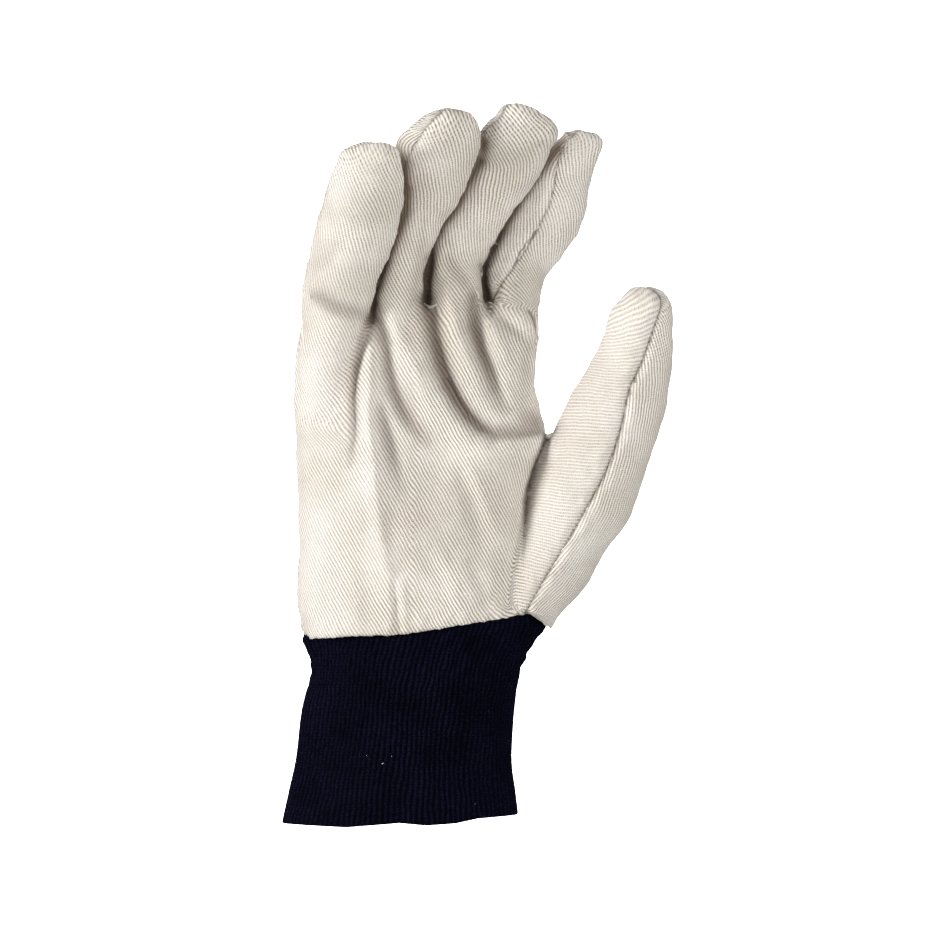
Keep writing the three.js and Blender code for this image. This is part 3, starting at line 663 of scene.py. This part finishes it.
def line_distance(points, line):
    """In the plane of the palm: distance to a line through points, share along it, and signed side."""
    line = np.array(line, float) * MM
    lengths = np.linalg.norm(np.diff(line, axis=0), axis=1)
    starts = np.concatenate([[0], np.cumsum(lengths)]) / lengths.sum()
    flat = points[:, [0, 2]]
    best, share, side = np.full(len(points), 1e9), np.zeros(len(points)), np.zeros(len(points))
    for k in range(len(line) - 1):
        way = line[k + 1] - line[k]
        f = np.clip(dot(flat - line[k], way) / dot(way, way), 0, 1)
        offset = flat - line[k] - f[:, None] * way
        away = np.hypot(offset[:, 0], offset[:, 1])
        closer = away < best
        best = np.where(closer, away, best)
        share = np.where(closer, starts[k] + f * (starts[k + 1] - starts[k]), share)
        side = np.where(closer, np.sign(way[0] * offset[:, 1] - way[1] * offset[:, 0]), side)
    return best, share, side


# The crease where the palm's edge laps over the thumb, from the crotch down
THUMB_CREASE = [(53.6, 142.0), (49.7, 134.0), (47.2, 126.7), (45.8, 121.3), (45.0, 114.2), (44.6, 105.2),
                (44.1, 96.3), (44.6, 91.0)]


def fold_height(points, folds):
    out = np.zeros(len(points))
    for line, width, height, step in folds:
        away, share, edge = line_distance(points, line)
        away /= width * MM
        fade = MM * np.cos((share - 0.35) * 1.9)
        out += fade * (height * np.exp(-away ** 2) + step * edge * away * np.exp(1 - away ** 2))
    return out


def soften_roots(body, points, finger_out, palm_out):
    """Soften where the fingers leave the palm, but not between two fingers or along the thumb's crease."""
    joint = bell(finger_out.min(0) - palm_out, 0.006)
    second = np.sort(finger_out, axis=0)[1]
    joint *= ease(0.0003, 0.002, second) * ease(0.150, 0.165, points[:, 2])
    shelf = np.hypot(points[:, 0] - 0.043, points[:, 2] - 0.187) / 0.010
    joint = np.maximum(joint, ease(1.25, 0.7, shelf) * (points[:, 1] < 0.012))
    group = body.vertex_groups.new(name="joint")
    for level in range(1, 11):
        chosen = np.nonzero((joint * 10).astype(int) == level)[0]
        if len(chosen):
            group.add(chosen.tolist(), level / 10, "REPLACE")
    apply_modifier(body, "SMOOTH", factor=0.5, iterations=120, vertex_group="joint")
    body.vertex_groups.clear()


def make_canvas():
    body = hand_form()
    apply_modifier(body, "SMOOTH", factor=0.5, iterations=5)
    points = points_of(body)
    spots = [limb_place(part, points) for part in LIMBS]
    palm_spot = palm_place(points)

    finger_out = np.array([spot["out"] for spot in spots[:4]])
    soften_roots(body, points, finger_out, palm_spot["out"])
    points = points_of(body)
    side = side_of_seam(points, spots, palm_spot)
    front_cloth, back_cloth = cloth_places(points, spots, palm_spot)

    # Folds, the lap at the thumb, seams and unevenness
    normals = read_all(body.data.vertex_normals, "vector", 3)
    facing = np.clip(-normals[:, 1] * 1.5, 0, 1)
    gap = np.sort(finger_out, axis=0)[1].clip(0) + 0.002 * ease(0.1885, 0.1845, points[:, 2])
    slots = np.maximum(fold_height(points, SLOTS) - GAP_DEPTH * bell(gap, GAP_WIDTH), -GAP_DEPTH)
    folds = fold_height(points, FOLDS)
    out = folds + slots
    away, share, edge = line_distance(points, THUMB_CREASE)
    fade = ease(1.0, 0.55, share)
    beside = bell(away, LAP_WIDTH)
    right_side = beside * (edge > 0)
    out += fade * (beside * (edge <= 0) * LAP_HEIGHT - right_side * LAP_DEPTH)
    moved = points.copy()
    moved[:, 1] -= out * facing
    groove = bell(side, GROOVE_WIDTH)
    puff = bell(np.abs(side) - PUFF_PLACE, PUFF_WIDTH)
    pucker = waves(points, 0.006, 5)
    hem_side = over_wrist_seam(points)
    hem_puff = bell(hem_side - HEM_PUFF_PLACE, HEM_PUFF_WIDTH)
    tuck = bell(np.maximum(hem_side, 0), TUCK_WIDTH)
    finger = ease(0.186, 0.200, points[:, 2]) * (points[:, 0] < 0.075)
    relief = (-GROOVE_DEPTH * groove * (1 - 0.5 * finger) + PUFF_HEIGHT * puff * (1 + pucker)
              + HEM_PUFF_HEIGHT * hem_puff * (1 + pucker) - TUCK_DEPTH * tuck)
    for height, size, seed in SWELLS:
        relief = relief + height * waves(points, size, seed)
    moved += normals * relief[:, None]
    for (across, up), radius, (right, rise) in EASED:
        near = np.exp(-((moved[:, 0] * 1000 - across) ** 2 + (moved[:, 2] * 1000 - up) ** 2) / radius ** 2)
        moved[:, 0] += near * right * MM
        moved[:, 2] += near * rise * MM
    # Painted shade: the cloth is darker in the seams, along and beside the lap over the thumb, in the slots
    # and gaps between the fingers, and in the folds' valleys.
    shade = np.clip((SEAM_DARK - SEAM_LESS_ON_FINGERS * finger) * bell(side, SEAM_REACH)
                    + LAP_DARK * fade * bell(away, LAP_REACH) * facing
                    + LAP_SIDE_DARK * fade * right_side * facing
                    + SLOT_DARK * np.clip(-slots / SLOT_FULL, 0, 1) ** 1.5 * facing
                    + sum(dark * bell(gap, reach) for dark, reach in GAP_SHADES) * facing
                    + FOLD_DARK * np.clip(-folds / FOLD_FULL, 0, 1) ** 1.2 * facing, 0, 1)
    # Painted shade: the hollows of the palm are a little darker, as they lie in shade.
    for across, up, wide, high, strength in HOLLOWS:
        hollow = ((points[:, 0] - across) / wide) ** 2 + ((points[:, 2] - up) / high) ** 2
        shade = np.minimum(shade + strength * np.exp(-hollow) * facing, 1)
    # Painted shade on the finger behind, beside the one that stands before it
    owner = finger_out.argmin(0)
    for k, line in enumerate(CONTACTS):
        apart, _, beyond = line_distance(points, line)
        apart = np.where(beyond > 0, apart, apart * 0.4)
        shaded = sum(dark * bell(apart, reach) for dark, reach in CONTACT_SHADES)
        shade = np.maximum(shade, shaded * (owner == k + 1) * facing)
    move_points(body, moved)
    # Painted light: the cloth's lines are made faint on the thumb's front and along the little finger's
    # side, where the light falls full on them.
    thumb = ease(0.003, 0.0, spots[4]["out"]) * ((edge > 0) | (points[:, 2] > 0.142))
    painted_light_fade = (0.55 * thumb + 0.3 * ease(0.004, -0.020, points[:, 0]) * (1 - thumb)) * (side > 0)
    values = np.column_stack([moved, front_cloth, back_cloth, shade, painted_light_fade, side])
    return part_panels(body, values, over_wrist_seam(moved))


def part_panels(body, values, rim):
    """Take off the skin below the wrist seam, and part the palm's cloth from the back's.

    The values of a point are its place, its places on the palm's and the back's cloth, its painted shade,
    its painted light that fades the lines, and its side of the seams. Its rim is its height over the wrist
    seam.
    """
    take_up(body)
    bpy.ops.object.mode_set(mode="EDIT")
    bpy.ops.mesh.select_all(action="SELECT")
    bpy.ops.mesh.quads_convert_to_tris(quad_method="BEAUTY")
    bpy.ops.object.mode_set(mode="OBJECT")
    edges = read_all(body.data.edges, "vertices", 2, int)
    values, rim = snap(values, rim, edges)
    values, side = snap(values, values[:, -1].copy(), edges)
    move_points(body, values[:, :3])
    write_attribute(body, "front_cloth", "FLOAT2", values[:, 3:5])
    write_attribute(body, "back_cloth", "FLOAT2", values[:, 5:7])
    write_attribute(body, "shade", "FLOAT", values[:, 7])
    write_attribute(body, "painted_light_fade", "FLOAT", values[:, 8])
    write_attribute(body, "side", "FLOAT", side)

    corners = corners_of(body)
    select_faces(body, (rim[corners] < 0).any(1) | (rim[corners] == 0).all(1))
    bpy.ops.mesh.delete(type="FACE")
    bpy.ops.object.mode_set(mode="OBJECT")
    side = read_all(body.data.attributes["side"].data, "value")
    select_faces(body, side[corners_of(body)].sum(1) < 0)
    bpy.ops.mesh.separate(type="SELECTED")
    set_down()
    back = [piece for piece in bpy.data.objects if piece.name.startswith("canvas_palm.")][0]
    body.name, back.name = "palm_drill", "back_drill"
    for piece, cloth in ((body, "front_cloth"), (back, "back_cloth")):
        finish_panel(piece, cloth)
    return body, back


def snap(values, heights, edges):
    """Points beside the line where the heights are 0 move onto it, along their edges."""
    a, b = edges.T
    crossing = heights[a] * heights[b] < 0
    a, b = a[crossing], b[crossing]
    share = heights[a] / (heights[a] - heights[b])
    mover, other = np.where(share < 0.5, a, b), np.where(share < 0.5, b, a)
    move = np.minimum(share, 1 - share)
    order = np.argsort(-move)
    mover, other, move = mover[order], other[order], move[order]
    values = values.copy()
    values[mover] = values[mover] + (values[other] - values[mover]) * move[:, None]
    heights = heights.copy()
    heights[mover] = 0
    return values, heights


def finish_panel(piece, cloth):
    take_up(piece)
    bpy.ops.object.mode_set(mode="EDIT")
    bpy.ops.mesh.select_all(action="SELECT")
    bpy.ops.mesh.remove_doubles(threshold=0.00015)
    bpy.ops.mesh.dissolve_degenerate(threshold=0.0001)
    bpy.ops.mesh.normals_make_consistent(inside=False)
    bpy.ops.object.mode_set(mode="OBJECT")
    data = piece.data
    places = read_all(data.attributes[cloth].data, "vector", 2)
    write_uv(piece, "cloth", places[read_all(data.loops, "vertex_index", kind=int)])
    for name in ("front_cloth", "back_cloth", "side"):
        data.attributes.remove(data.attributes[name])
    apply_modifier(piece, "SOLIDIFY", thickness=CANVAS_WALL, offset=-1)
    smooth_shade(piece)


# ---- Knit cuff ----

RIBS = round(math.pi * (WRIST_WIDTH + WRIST_DEPTH) / 2 / RIB_PITCH)
RIB_STEPS = 5
CUFF_ROWS, HEM_ROWS, INNER_ROWS = 96, 7, 14
CUFF_LOOSE = 0.0004
RING_STEPS = 361


def hem_rise(x):
    across, rise = HEM[1].T
    return np.interp(x / WRIST_WIDTH, across, rise) * CUFF_LENGTH


def cuff_ring(height, shares, grow):
    """Places round the cuff at one height, evenly spread by shares of its girth."""
    samples = np.linspace(0, 1, 300)
    top = CUFF_LENGTH + CUFF_TUCK
    heights = rows_at(CUFF, samples)["height"] * top / CUFF[1][-1][0]
    t = np.interp(height, heights, samples)
    angle = np.linspace(0, 2 * math.pi, RING_STEPS)
    row = {key: np.full(RING_STEPS, value[0]) for key, value in rows_at(CUFF, np.array([t])).items()}
    ring = tube_surface(row, WRIST_WIDTH, WRIST_DEPTH, np.zeros(RING_STEPS), angle, 1)
    ring += unit(ring - ring.mean(0)) * grow
    lengths = np.concatenate([[0], np.cumsum(np.linalg.norm(np.diff(ring, axis=0), axis=1))])
    lengths /= lengths[-1]
    here, behind, ahead = (np.stack([np.interp(shares + step, lengths, ring[:, k]) for k in (0, 1)], 1)
                           for step in (0, -0.002, 0.002))
    way = unit(ahead - behind)
    return here, np.stack([way[:, 1], -way[:, 0]], 1)


def make_cuff():
    cuff = tube_blank("rib_cuff", RIBS * RIB_STEPS, CUFF_ROWS, "NOTHING")
    up, angle = tube_places(cuff)
    shares = (angle / (2 * math.pi)) % 1
    level = np.rint(up * CUFF_ROWS).astype(int)
    points = np.zeros((len(up), 3))
    uv = np.zeros((len(up), 2))
    top = CUFF_LENGTH + CUFF_TUCK
    outer = CUFF_ROWS - HEM_ROWS - INNER_ROWS
    wall = KNIT_WALL + RIB_HEIGHT
    bend = wall / 2
    # The tube runs from the lining's top down the inside, round the hem and up the outside.
    for k in range(CUFF_ROWS + 1):
        here = np.nonzero(level == k)[0]
        share = shares[here]
        if k < INNER_ROWS:
            height, inward, on = top - (top - bend) * k / INNER_ROWS, wall, 0.25
        elif k < INNER_ROWS + HEM_ROWS:
            turn = math.pi * (k - INNER_ROWS) / HEM_ROWS
            height, inward = bend - bend * math.sin(turn), bend + bend * math.cos(turn)
            on = 0.25 + 0.5 * turn / math.pi
        else:
            height, inward, on = bend + (top - bend) * (k - INNER_ROWS - HEM_ROWS) / outer, 0.0, 1.0
        flat, outward = cuff_ring(height, share, CUFF_LOOSE)
        turn = share * 2 * math.pi
        round_ = np.stack([np.cos(turn), np.sin(turn), np.full(len(share), height * 30)], 1)
        drift = 0.5 * waves(round_, 1.1, 21) * ease(0.0, 0.02, height) + 0.12 * waves(round_ * 6, 1.3, 22)
        phase = share * RIBS + drift
        crest = (0.5 + 0.5 * np.cos(2 * math.pi * phase)) ** 0.7
        strength = on * (1 + 0.25 * waves(round_ * 9, 1.0, 23))
        depth = inward + RIB_HEIGHT * (1 - crest) * strength
        swell = 0.0007 * waves(round_ * 1.2, 1.2, 24) * ease(0.0, 0.03, height) * ease(top, 0.06, height)
        gather = 0.0004 * waves(round_ * 7, 1.0, 25) * ease(0.045, 0.062, height)
        bulge = 0.0022 * math.exp(-((height - 0.0665) / 0.005) ** 2) * ease(-0.024, -0.033, flat[:, 0])
        flat = flat + outward * (swell + gather + bulge - depth)[:, None]
        rise = hem_rise(flat[:, 0]) * max(1 - height / (CUFF_LENGTH / 2), 0)
        points[here] = np.column_stack([flat, height + rise])
        run = height if k >= INNER_ROWS + HEM_ROWS else -height
        uv[here] = np.column_stack([phase, np.full(len(here), run)])
    move_points(cuff, points)
    take_up(cuff)
    bpy.ops.object.mode_set(mode="EDIT")
    select_edges(cuff, lambda edge: edge.is_boundary)
    bpy.ops.mesh.bridge_edge_loops()
    bpy.ops.mesh.select_all(action="SELECT")
    bpy.ops.mesh.normals_make_consistent(inside=False)
    bpy.ops.object.mode_set(mode="OBJECT")
    data = cuff.data
    loop_uv = uv[read_all(data.loops, "vertex_index", kind=int)]
    counts = read_all(data.polygons, "loop_total", kind=int)
    # In the faces that cross the ring's start, the rib numbers go on past the last rib.
    owner = np.repeat(np.arange(len(counts)), counts)
    highest = np.full(len(counts), -1e9)
    np.maximum.at(highest, owner, loop_uv[:, 0])
    wrapped = highest[owner] - loop_uv[:, 0] > RIBS / 2
    loop_uv[wrapped, 0] += RIBS
    write_uv(cuff, "stitches", loop_uv)
    smooth_shade(cuff)
    return cuff


# ---- Threads ----

def on_cloth(piece, across, up, proud):
    """The place on a piece's palm side at millimetres across and up, a little proud of it."""
    x, z = across * MM, up * MM
    hit, place, normal, _ = piece.ray_cast(Vector((x, -1, z)), Vector((0, 1, 0)))
    return place + normal * proud if hit else Vector((x, 0, z))


def thread(name, places, radius):
    """A length of thread through up to five places, as a mesh with its ends drawn in."""
    set_down()
    bpy.ops.curve.primitive_nurbs_path_add()
    cord = bpy.context.object
    cord.name = name
    cord.location = (0, 0, 0)
    spare = len(cord.data.splines[0].points) - len(places)
    for _ in range(spare):
        bpy.ops.object.mode_set(mode="EDIT")
        bpy.ops.curve.select_all(action="DESELECT")
        cord.data.splines[0].points[-1].select = True
        bpy.ops.curve.delete(type="VERT")
        bpy.ops.object.mode_set(mode="OBJECT")
    spline = cord.data.splines[0]
    for point, place in zip(spline.points, places):
        point.co = (*place, 1)
    for point in (spline.points[0], spline.points[-1]):
        point.radius = 0.35
    spline.use_endpoint_u = True
    spline.order_u = 3
    spline.resolution_u = 4
    cord.data.dimensions = "3D"
    cord.data.bevel_depth = radius
    cord.data.bevel_resolution = 2
    cord.data.use_fill_caps = True
    bpy.ops.object.convert(target="MESH")
    return bpy.context.object


def join_threads(pieces, name):
    joined = join(pieces)
    joined.name = name
    take_up(joined)
    bpy.ops.object.transform_apply(location=True, rotation=True, scale=True)
    smooth_shade(joined)
    return joined


# Stitches at the crotches, as places across and up in millimetres. The first is the loose thread.
STITCH_RADIUS, LOOSE_THREAD_RADIUS = 0.00025, 0.0004
STITCHES = [
    [(8.8, 188.6), (9.2, 187.3), (10.8, 186.8), (12.6, 187.2), (13.9, 188.4)],
    [(9.4, 186.9), (10.9, 186.2), (12.8, 186.6)],
    [(-6.6, 190.2), (-6.2, 189.2), (-6.0, 188.3)],
    [(-6.0, 184.2), (-5.7, 183.2), (-5.9, 182.4)],
    [(-7.6, 183.0), (-6.9, 182.4), (-6.1, 182.2)],
    [(32.0, 188.6), (32.8, 188.2), (33.6, 188.3)],
    [(32.1, 187.2), (33.0, 186.7), (33.8, 186.9)],
    [(31.6, 185.8), (32.4, 185.2), (33.3, 185.3)],
    [(30.6, 184.8), (31.4, 184.2), (32.3, 184.2)],
]

# Bits of lint on the cuff: across and up, half the length, the turn in degrees, and the radius in metres
LINT = [(-6.1, 23.0, 0.4, 20, 0.0002), (-11.9, 25.9, 0.2, 80, 0.00007),
        (-2.9, 25.6, 0.2, 130, 0.00007), (27.0, 8.4, 0.2, 40, 0.00007)]


def make_lint(cuff):
    pieces = []
    for k, (across, up, reach, turn, radius) in enumerate(LINT):
        x, z = math.cos(math.radians(turn)) * reach, math.sin(math.radians(turn)) * reach
        places = [on_cloth(cuff, across + x * share, up + z * share, 0.0001) for share in (-1, 0, 1)]
        pieces.append(thread("lint_%d" % k, places, radius))
    return join_threads(pieces, "cuff_lint")


def make_stitches(cloth):
    pieces = []
    for k, line in enumerate(STITCHES):
        places = []
        for j, (across, up) in enumerate(line):
            proud = -0.0003 if j in (0, len(line) - 1) else 0.0002
            places.append(on_cloth(cloth, across, up, proud))
        pieces.append(thread("stitch_%d" % k, places, STITCH_RADIUS if k else LOOSE_THREAD_RADIUS))
    return join_threads(pieces, "crotch_stitches")


# ---- Finishes ----

BEAD_PITCH, LOOP_PITCH = 0.00075, 0.0011
# The colour that painted shade darkens the cloth towards
SHADED_CLOTH = (0.1, 0.064, 0.038, 1)
CREAM = (0.835, 0.804, 0.758, 1)


class Finish:
    """A material being wired up, node by node."""

    def __init__(self, name):
        self.material = bpy.data.materials.new(name)
        self.material.use_nodes = True
        self.tree = self.material.node_tree
        self.shader = self.tree.nodes["Principled BSDF"]

    def add(self, kind, _out=0, _settings=None, **inputs):
        node = self.tree.nodes.new(kind)
        for key, value in (_settings or {}).items():
            setattr(node, key, value)
        for key, value in inputs.items():
            numbered = key[0] == "i" and key[1:].isdigit()
            self.put(value, node.inputs[int(key[1:]) if numbered else key])
        return node.outputs[_out]

    def put(self, value, socket):
        if isinstance(value, bpy.types.NodeSocket):
            self.tree.links.new(value, socket)
        else:
            socket.default_value = value

    def maths(self, operation, first, second=0.0, third=0.0):
        return self.add("ShaderNodeMath", _settings={"operation": operation}, i0=first, i1=second, i2=third)

    def blend(self, share, first, second):
        node = self.tree.nodes.new("ShaderNodeMix")
        node.data_type = "RGBA"
        self.put(share, node.inputs[0])
        self.put(first, node.inputs[6])
        self.put(second, node.inputs[7])
        return node.outputs[2]

    def ramp(self, value, *stops):
        node = self.tree.nodes.new("ShaderNodeMapRange")
        node.interpolation_type = "SMOOTHSTEP"
        self.put(value, node.inputs[0])
        for k, stop in enumerate(stops):
            node.inputs[k + 1].default_value = stop
        return node.outputs[0]

    def noise(self, place, scale, detail):
        return self.add("ShaderNodeTexNoise", Vector=place, Scale=scale, Detail=detail)

    def swing(self, turns, kind="SINE"):
        """A sine or cosine that runs from 0 to 1."""
        return self.maths("MULTIPLY_ADD", self.maths(kind, turns), 0.5, 0.5)

    def cloth_map(self, name):
        """The places on the cloth, and the two parts of them."""
        uv = self.add("ShaderNodeUVMap", _settings={"uv_map": name})
        split = self.tree.nodes.new("ShaderNodeSeparateXYZ")
        self.put(uv, split.inputs[0])
        return uv, split.outputs[0], split.outputs[1]

    def settle(self, values):
        for key, value in values.items():
            self.put(value, self.shader.inputs[key])

    def surface(self, colour, height, strength, distance, roughness):
        """Colour and fine relief of the surface, and how matt it is."""
        bump = self.add("ShaderNodeBump", Strength=strength, Distance=distance, Height=height)
        self.settle({"Base Color": colour, "Normal": bump, "Roughness": roughness})


def drill_finish(name, cream, line, seed):
    finish = Finish(name)
    uv, across, along = finish.cloth_map("cloth")
    shifted = finish.add("ShaderNodeVectorMath", _settings={"operation": "ADD"}, i0=uv, i1=(seed, seed, 0))
    waver = finish.noise(shifted, 110.0, 2.0)
    fleck = finish.noise(shifted, 1500.0, 2.0)
    patch = finish.noise(shifted, 55.0, 3.0)
    place = finish.add("ShaderNodeTexCoord", _out=3)
    cloud = finish.noise(place, 38.0, 3.0)
    bent = finish.maths("MULTIPLY_ADD", waver, TWILL_PITCH * 1.1, across)
    turns = finish.maths("MULTIPLY", bent, 2 * math.pi / TWILL_PITCH)
    wave = finish.swing(turns)
    order = finish.maths("FLOOR", finish.maths("DIVIDE", bent, TWILL_PITCH))
    start = finish.maths("MULTIPLY", order, 2.1)
    steps = finish.maths("MULTIPLY_ADD", along, 2 * math.pi / BEAD_PITCH, start)
    beads = finish.swing(steps)
    ridge = finish.ramp(wave, 0.08, 0.68, 0.0, 1.0)
    gap = finish.maths("SUBTRACT", 1.0, ridge)
    dashes = finish.maths("MULTIPLY", gap, finish.maths("MULTIPLY_ADD", beads, 0.7, 0.4))
    strength = finish.ramp(patch, 0.3, 0.6, 0.7, 1.15)
    lines = finish.maths("MULTIPLY", dashes, strength)
    lines = finish.maths("MULTIPLY", lines, finish.ramp(fleck, 0.3, 0.6, 0.55, 1.1))
    # Painted light: where the light falls full, the lines are faded into an even tone a little darker than
    # the cream
    painted_light_fade = finish.add("ShaderNodeAttribute", _out=2, _settings={"attribute_name": "painted_light_fade"})
    lines = finish.maths("MULTIPLY", lines, finish.maths("SUBTRACT", 1.0, painted_light_fade))
    lines = finish.maths("MULTIPLY_ADD", painted_light_fade, 0.24, lines)
    pale = tuple(min(c * 1.07, 1) for c in cream[:3]) + (1,)
    dull = (cream[0] * 0.93, cream[1] * 0.915, cream[2] * 0.885, 1)
    base = finish.blend(finish.ramp(cloud, 0.35, 0.65, 0.0, 1.0), dull, pale)
    base = finish.blend(finish.maths("MULTIPLY", finish.ramp(fleck, 0.52, 0.7, 0.0, 1.0), 0.25), base, line)
    colour = finish.blend(lines, base, line)
    # Painted shade: the shade attribute darkens the cloth towards the shaded colour
    shade = finish.add("ShaderNodeAttribute", _out=2, _settings={"attribute_name": "shade"})
    colour = finish.blend(finish.maths("MULTIPLY", shade, 0.95), colour, SHADED_CLOTH)
    height = finish.maths("MULTIPLY_ADD", ridge, 0.8, finish.maths("MULTIPLY", fleck, 0.35))
    height = finish.maths("MULTIPLY_ADD", finish.maths("MULTIPLY", gap, beads), -0.3, height)
    finish.surface(colour, height, 0.9, 0.00025, 0.95)
    finish.settle({"Specular IOR Level": 0.15, "Sheen Weight": 0.12, "Sheen Roughness": 0.5})
    return finish.material


def knit_finish(name, navy, lift):
    finish = Finish(name)
    _, rib, run = finish.cloth_map("stitches")
    swing = finish.maths("ABSOLUTE", finish.maths("SINE", finish.maths("MULTIPLY", rib, math.pi)))
    loops = finish.maths("MULTIPLY_ADD", run, 2 * math.pi / LOOP_PITCH, finish.maths("MULTIPLY", swing, 3.0))
    loops = finish.swing(loops)
    turns = finish.maths("MULTIPLY", rib, 2 * math.pi)
    crest = finish.swing(turns, "COSINE")
    place = finish.add("ShaderNodeTexCoord", _out=3)
    fuzz = finish.noise(place, 1700.0, 3.0)
    patch = finish.noise(place, 60.0, 2.0)
    # Painted light and shade: the knit is lighter on the rib crests and loops and darker between them; fuzz
    # and patches vary its tone at random
    bright = finish.maths("MULTIPLY", finish.maths("MULTIPLY_ADD", crest, 0.6, 0.2),
                          finish.maths("MULTIPLY_ADD", loops, 0.6, 0.4))
    bright = finish.maths("MULTIPLY", bright, finish.ramp(fuzz, 0.35, 0.65, 0.3, 1.5))
    bright = finish.maths("MULTIPLY", bright, finish.ramp(patch, 0.3, 0.7, 0.6, 1.2))
    colour = finish.blend(bright, navy, lift)
    height = finish.maths("MULTIPLY_ADD", loops, 0.5, finish.maths("MULTIPLY", fuzz, 0.6))
    finish.surface(colour, height, 0.7, 0.0003, 0.9)
    finish.settle({"Specular IOR Level": 0.03})
    return finish.material


def thread_finish(name, colour):
    finish = Finish(name)
    place = finish.add("ShaderNodeTexCoord", _out=3)
    twist = finish.noise(place, 3000.0, 2.0)
    dull = tuple(c * 0.6 for c in colour[:3]) + (1,)
    colour = finish.blend(finish.ramp(twist, 0.35, 0.65, 0.0, 1.0), dull, colour)
    finish.surface(colour, twist, 0.5, 0.0001, 0.8)
    return finish.material


def plain_finish(name, colour, glow):
    finish = Finish(name)
    finish.settle({"Base Color": colour, "Roughness": 0.9})
    finish.settle({"Emission Color": (1, 1, 1, 1), "Emission Strength": glow})
    return finish.material


# ---- Making ----

palm_drill, back_drill = make_canvas()
rib_cuff = make_cuff()
crotch_stitches = make_stitches(palm_drill)
cuff_lint = make_lint(rib_cuff)
cotton_thread = thread_finish("cotton_thread", (0.9, 0.88, 0.84, 1))
for piece, material in (
    (crotch_stitches, cotton_thread),
    (cuff_lint, cotton_thread),
    (palm_drill, drill_finish("palm_canvas", CREAM, (0.33, 0.245, 0.158, 1), 3.0)),
    (back_drill, drill_finish("back_canvas", CREAM, (0.33, 0.25, 0.165, 1), 7.0)),
    (rib_cuff, knit_finish("rib_knit", (0.0002, 0.0002, 0.0007, 1), (0.006, 0.0062, 0.022, 1))),
):
    piece.data.materials.clear()
    piece.data.materials.append(material)

for piece, node, slot in (
    (palm_drill, "palm_panel", "palm_canvas"),
    (back_drill, "back_panel", "back_canvas"),
    (rib_cuff, "knit_cuff", "rib_knit"),
):
    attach(piece, "root")
    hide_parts(node)
for piece in (crotch_stitches, cuff_lint):
    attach(piece, "root")

# Floor that sweeps up into a backdrop
FLOOR_SIZE, FLOOR_LEVEL, FLOOR_BACK = 14, -0.12, 6.9
BACKDROP_HEIGHT, SWEEP = 6, 2.0
set_down()
bpy.ops.mesh.primitive_plane_add(size=FLOOR_SIZE, location=(0, 0, FLOOR_LEVEL))
floor = bpy.context.object
floor.name = "studio_floor"
bpy.ops.object.transform_apply(location=True)
bpy.ops.object.mode_set(mode="EDIT")
select_edges(floor, lambda edge: all(vertex.co.y > FLOOR_BACK for vertex in edge.verts))
bpy.ops.mesh.extrude_region_move(TRANSFORM_OT_translate={"value": (0, 0, BACKDROP_HEIGHT)})
select_edges(floor, lambda edge: all(vertex.co.y > FLOOR_BACK and vertex.co.z < 0 for vertex in edge.verts))
bpy.ops.mesh.bevel(offset=SWEEP, segments=20)
bpy.ops.object.mode_set(mode="OBJECT")
smooth_shade(floor)
floor.data.materials.append(plain_finish("studio_white", (0.72, 0.72, 0.72, 1), 0.0))


def soft_light(name, place, aim, width, power):
    lamp = bpy.data.lights.new(name, "AREA")
    lamp.size = width
    lamp.energy = power
    holder = bpy.data.objects.new(name, lamp)
    holder.location = place
    holder.rotation_euler = (Vector(aim) - Vector(place)).to_track_quat("-Z", "Y").to_euler()
    bpy.context.scene.collection.objects.link(holder)


MIDDLE_OF_GLOVE = (0.027, 0, 0.13)
soft_light("key_light", (-1.5, -0.65, 0.5), MIDDLE_OF_GLOVE, 0.45, 24.5)
soft_light("fill_light", (0.7, -1.6, 0.4), MIDDLE_OF_GLOVE, 1.0, 20)
soft_light("backdrop_light", (0, 3.4, 2.6), (0, 7, 0.2), 2.0, 700)
world = bpy.data.worlds.new("studio")
world.use_nodes = True
world.node_tree.nodes["Background"].inputs[0].default_value = (1, 1, 1, 1)
world.node_tree.nodes["Background"].inputs[1].default_value = 0.22
bpy.context.scene.world = world
bpy.context.scene.view_settings.view_transform = "Standard"

camera = bpy.data.cameras.new("camera")
camera.lens = 526.3
camera.sensor_width = 36
camera.clip_end = 50
viewer = bpy.data.objects.new("camera", camera)
viewer.location = (0.027, -5.0, 0.1264)
viewer.rotation_euler = (math.radians(90), 0, 0)
bpy.context.scene.collection.objects.link(viewer)
bpy.context.scene.camera = viewer
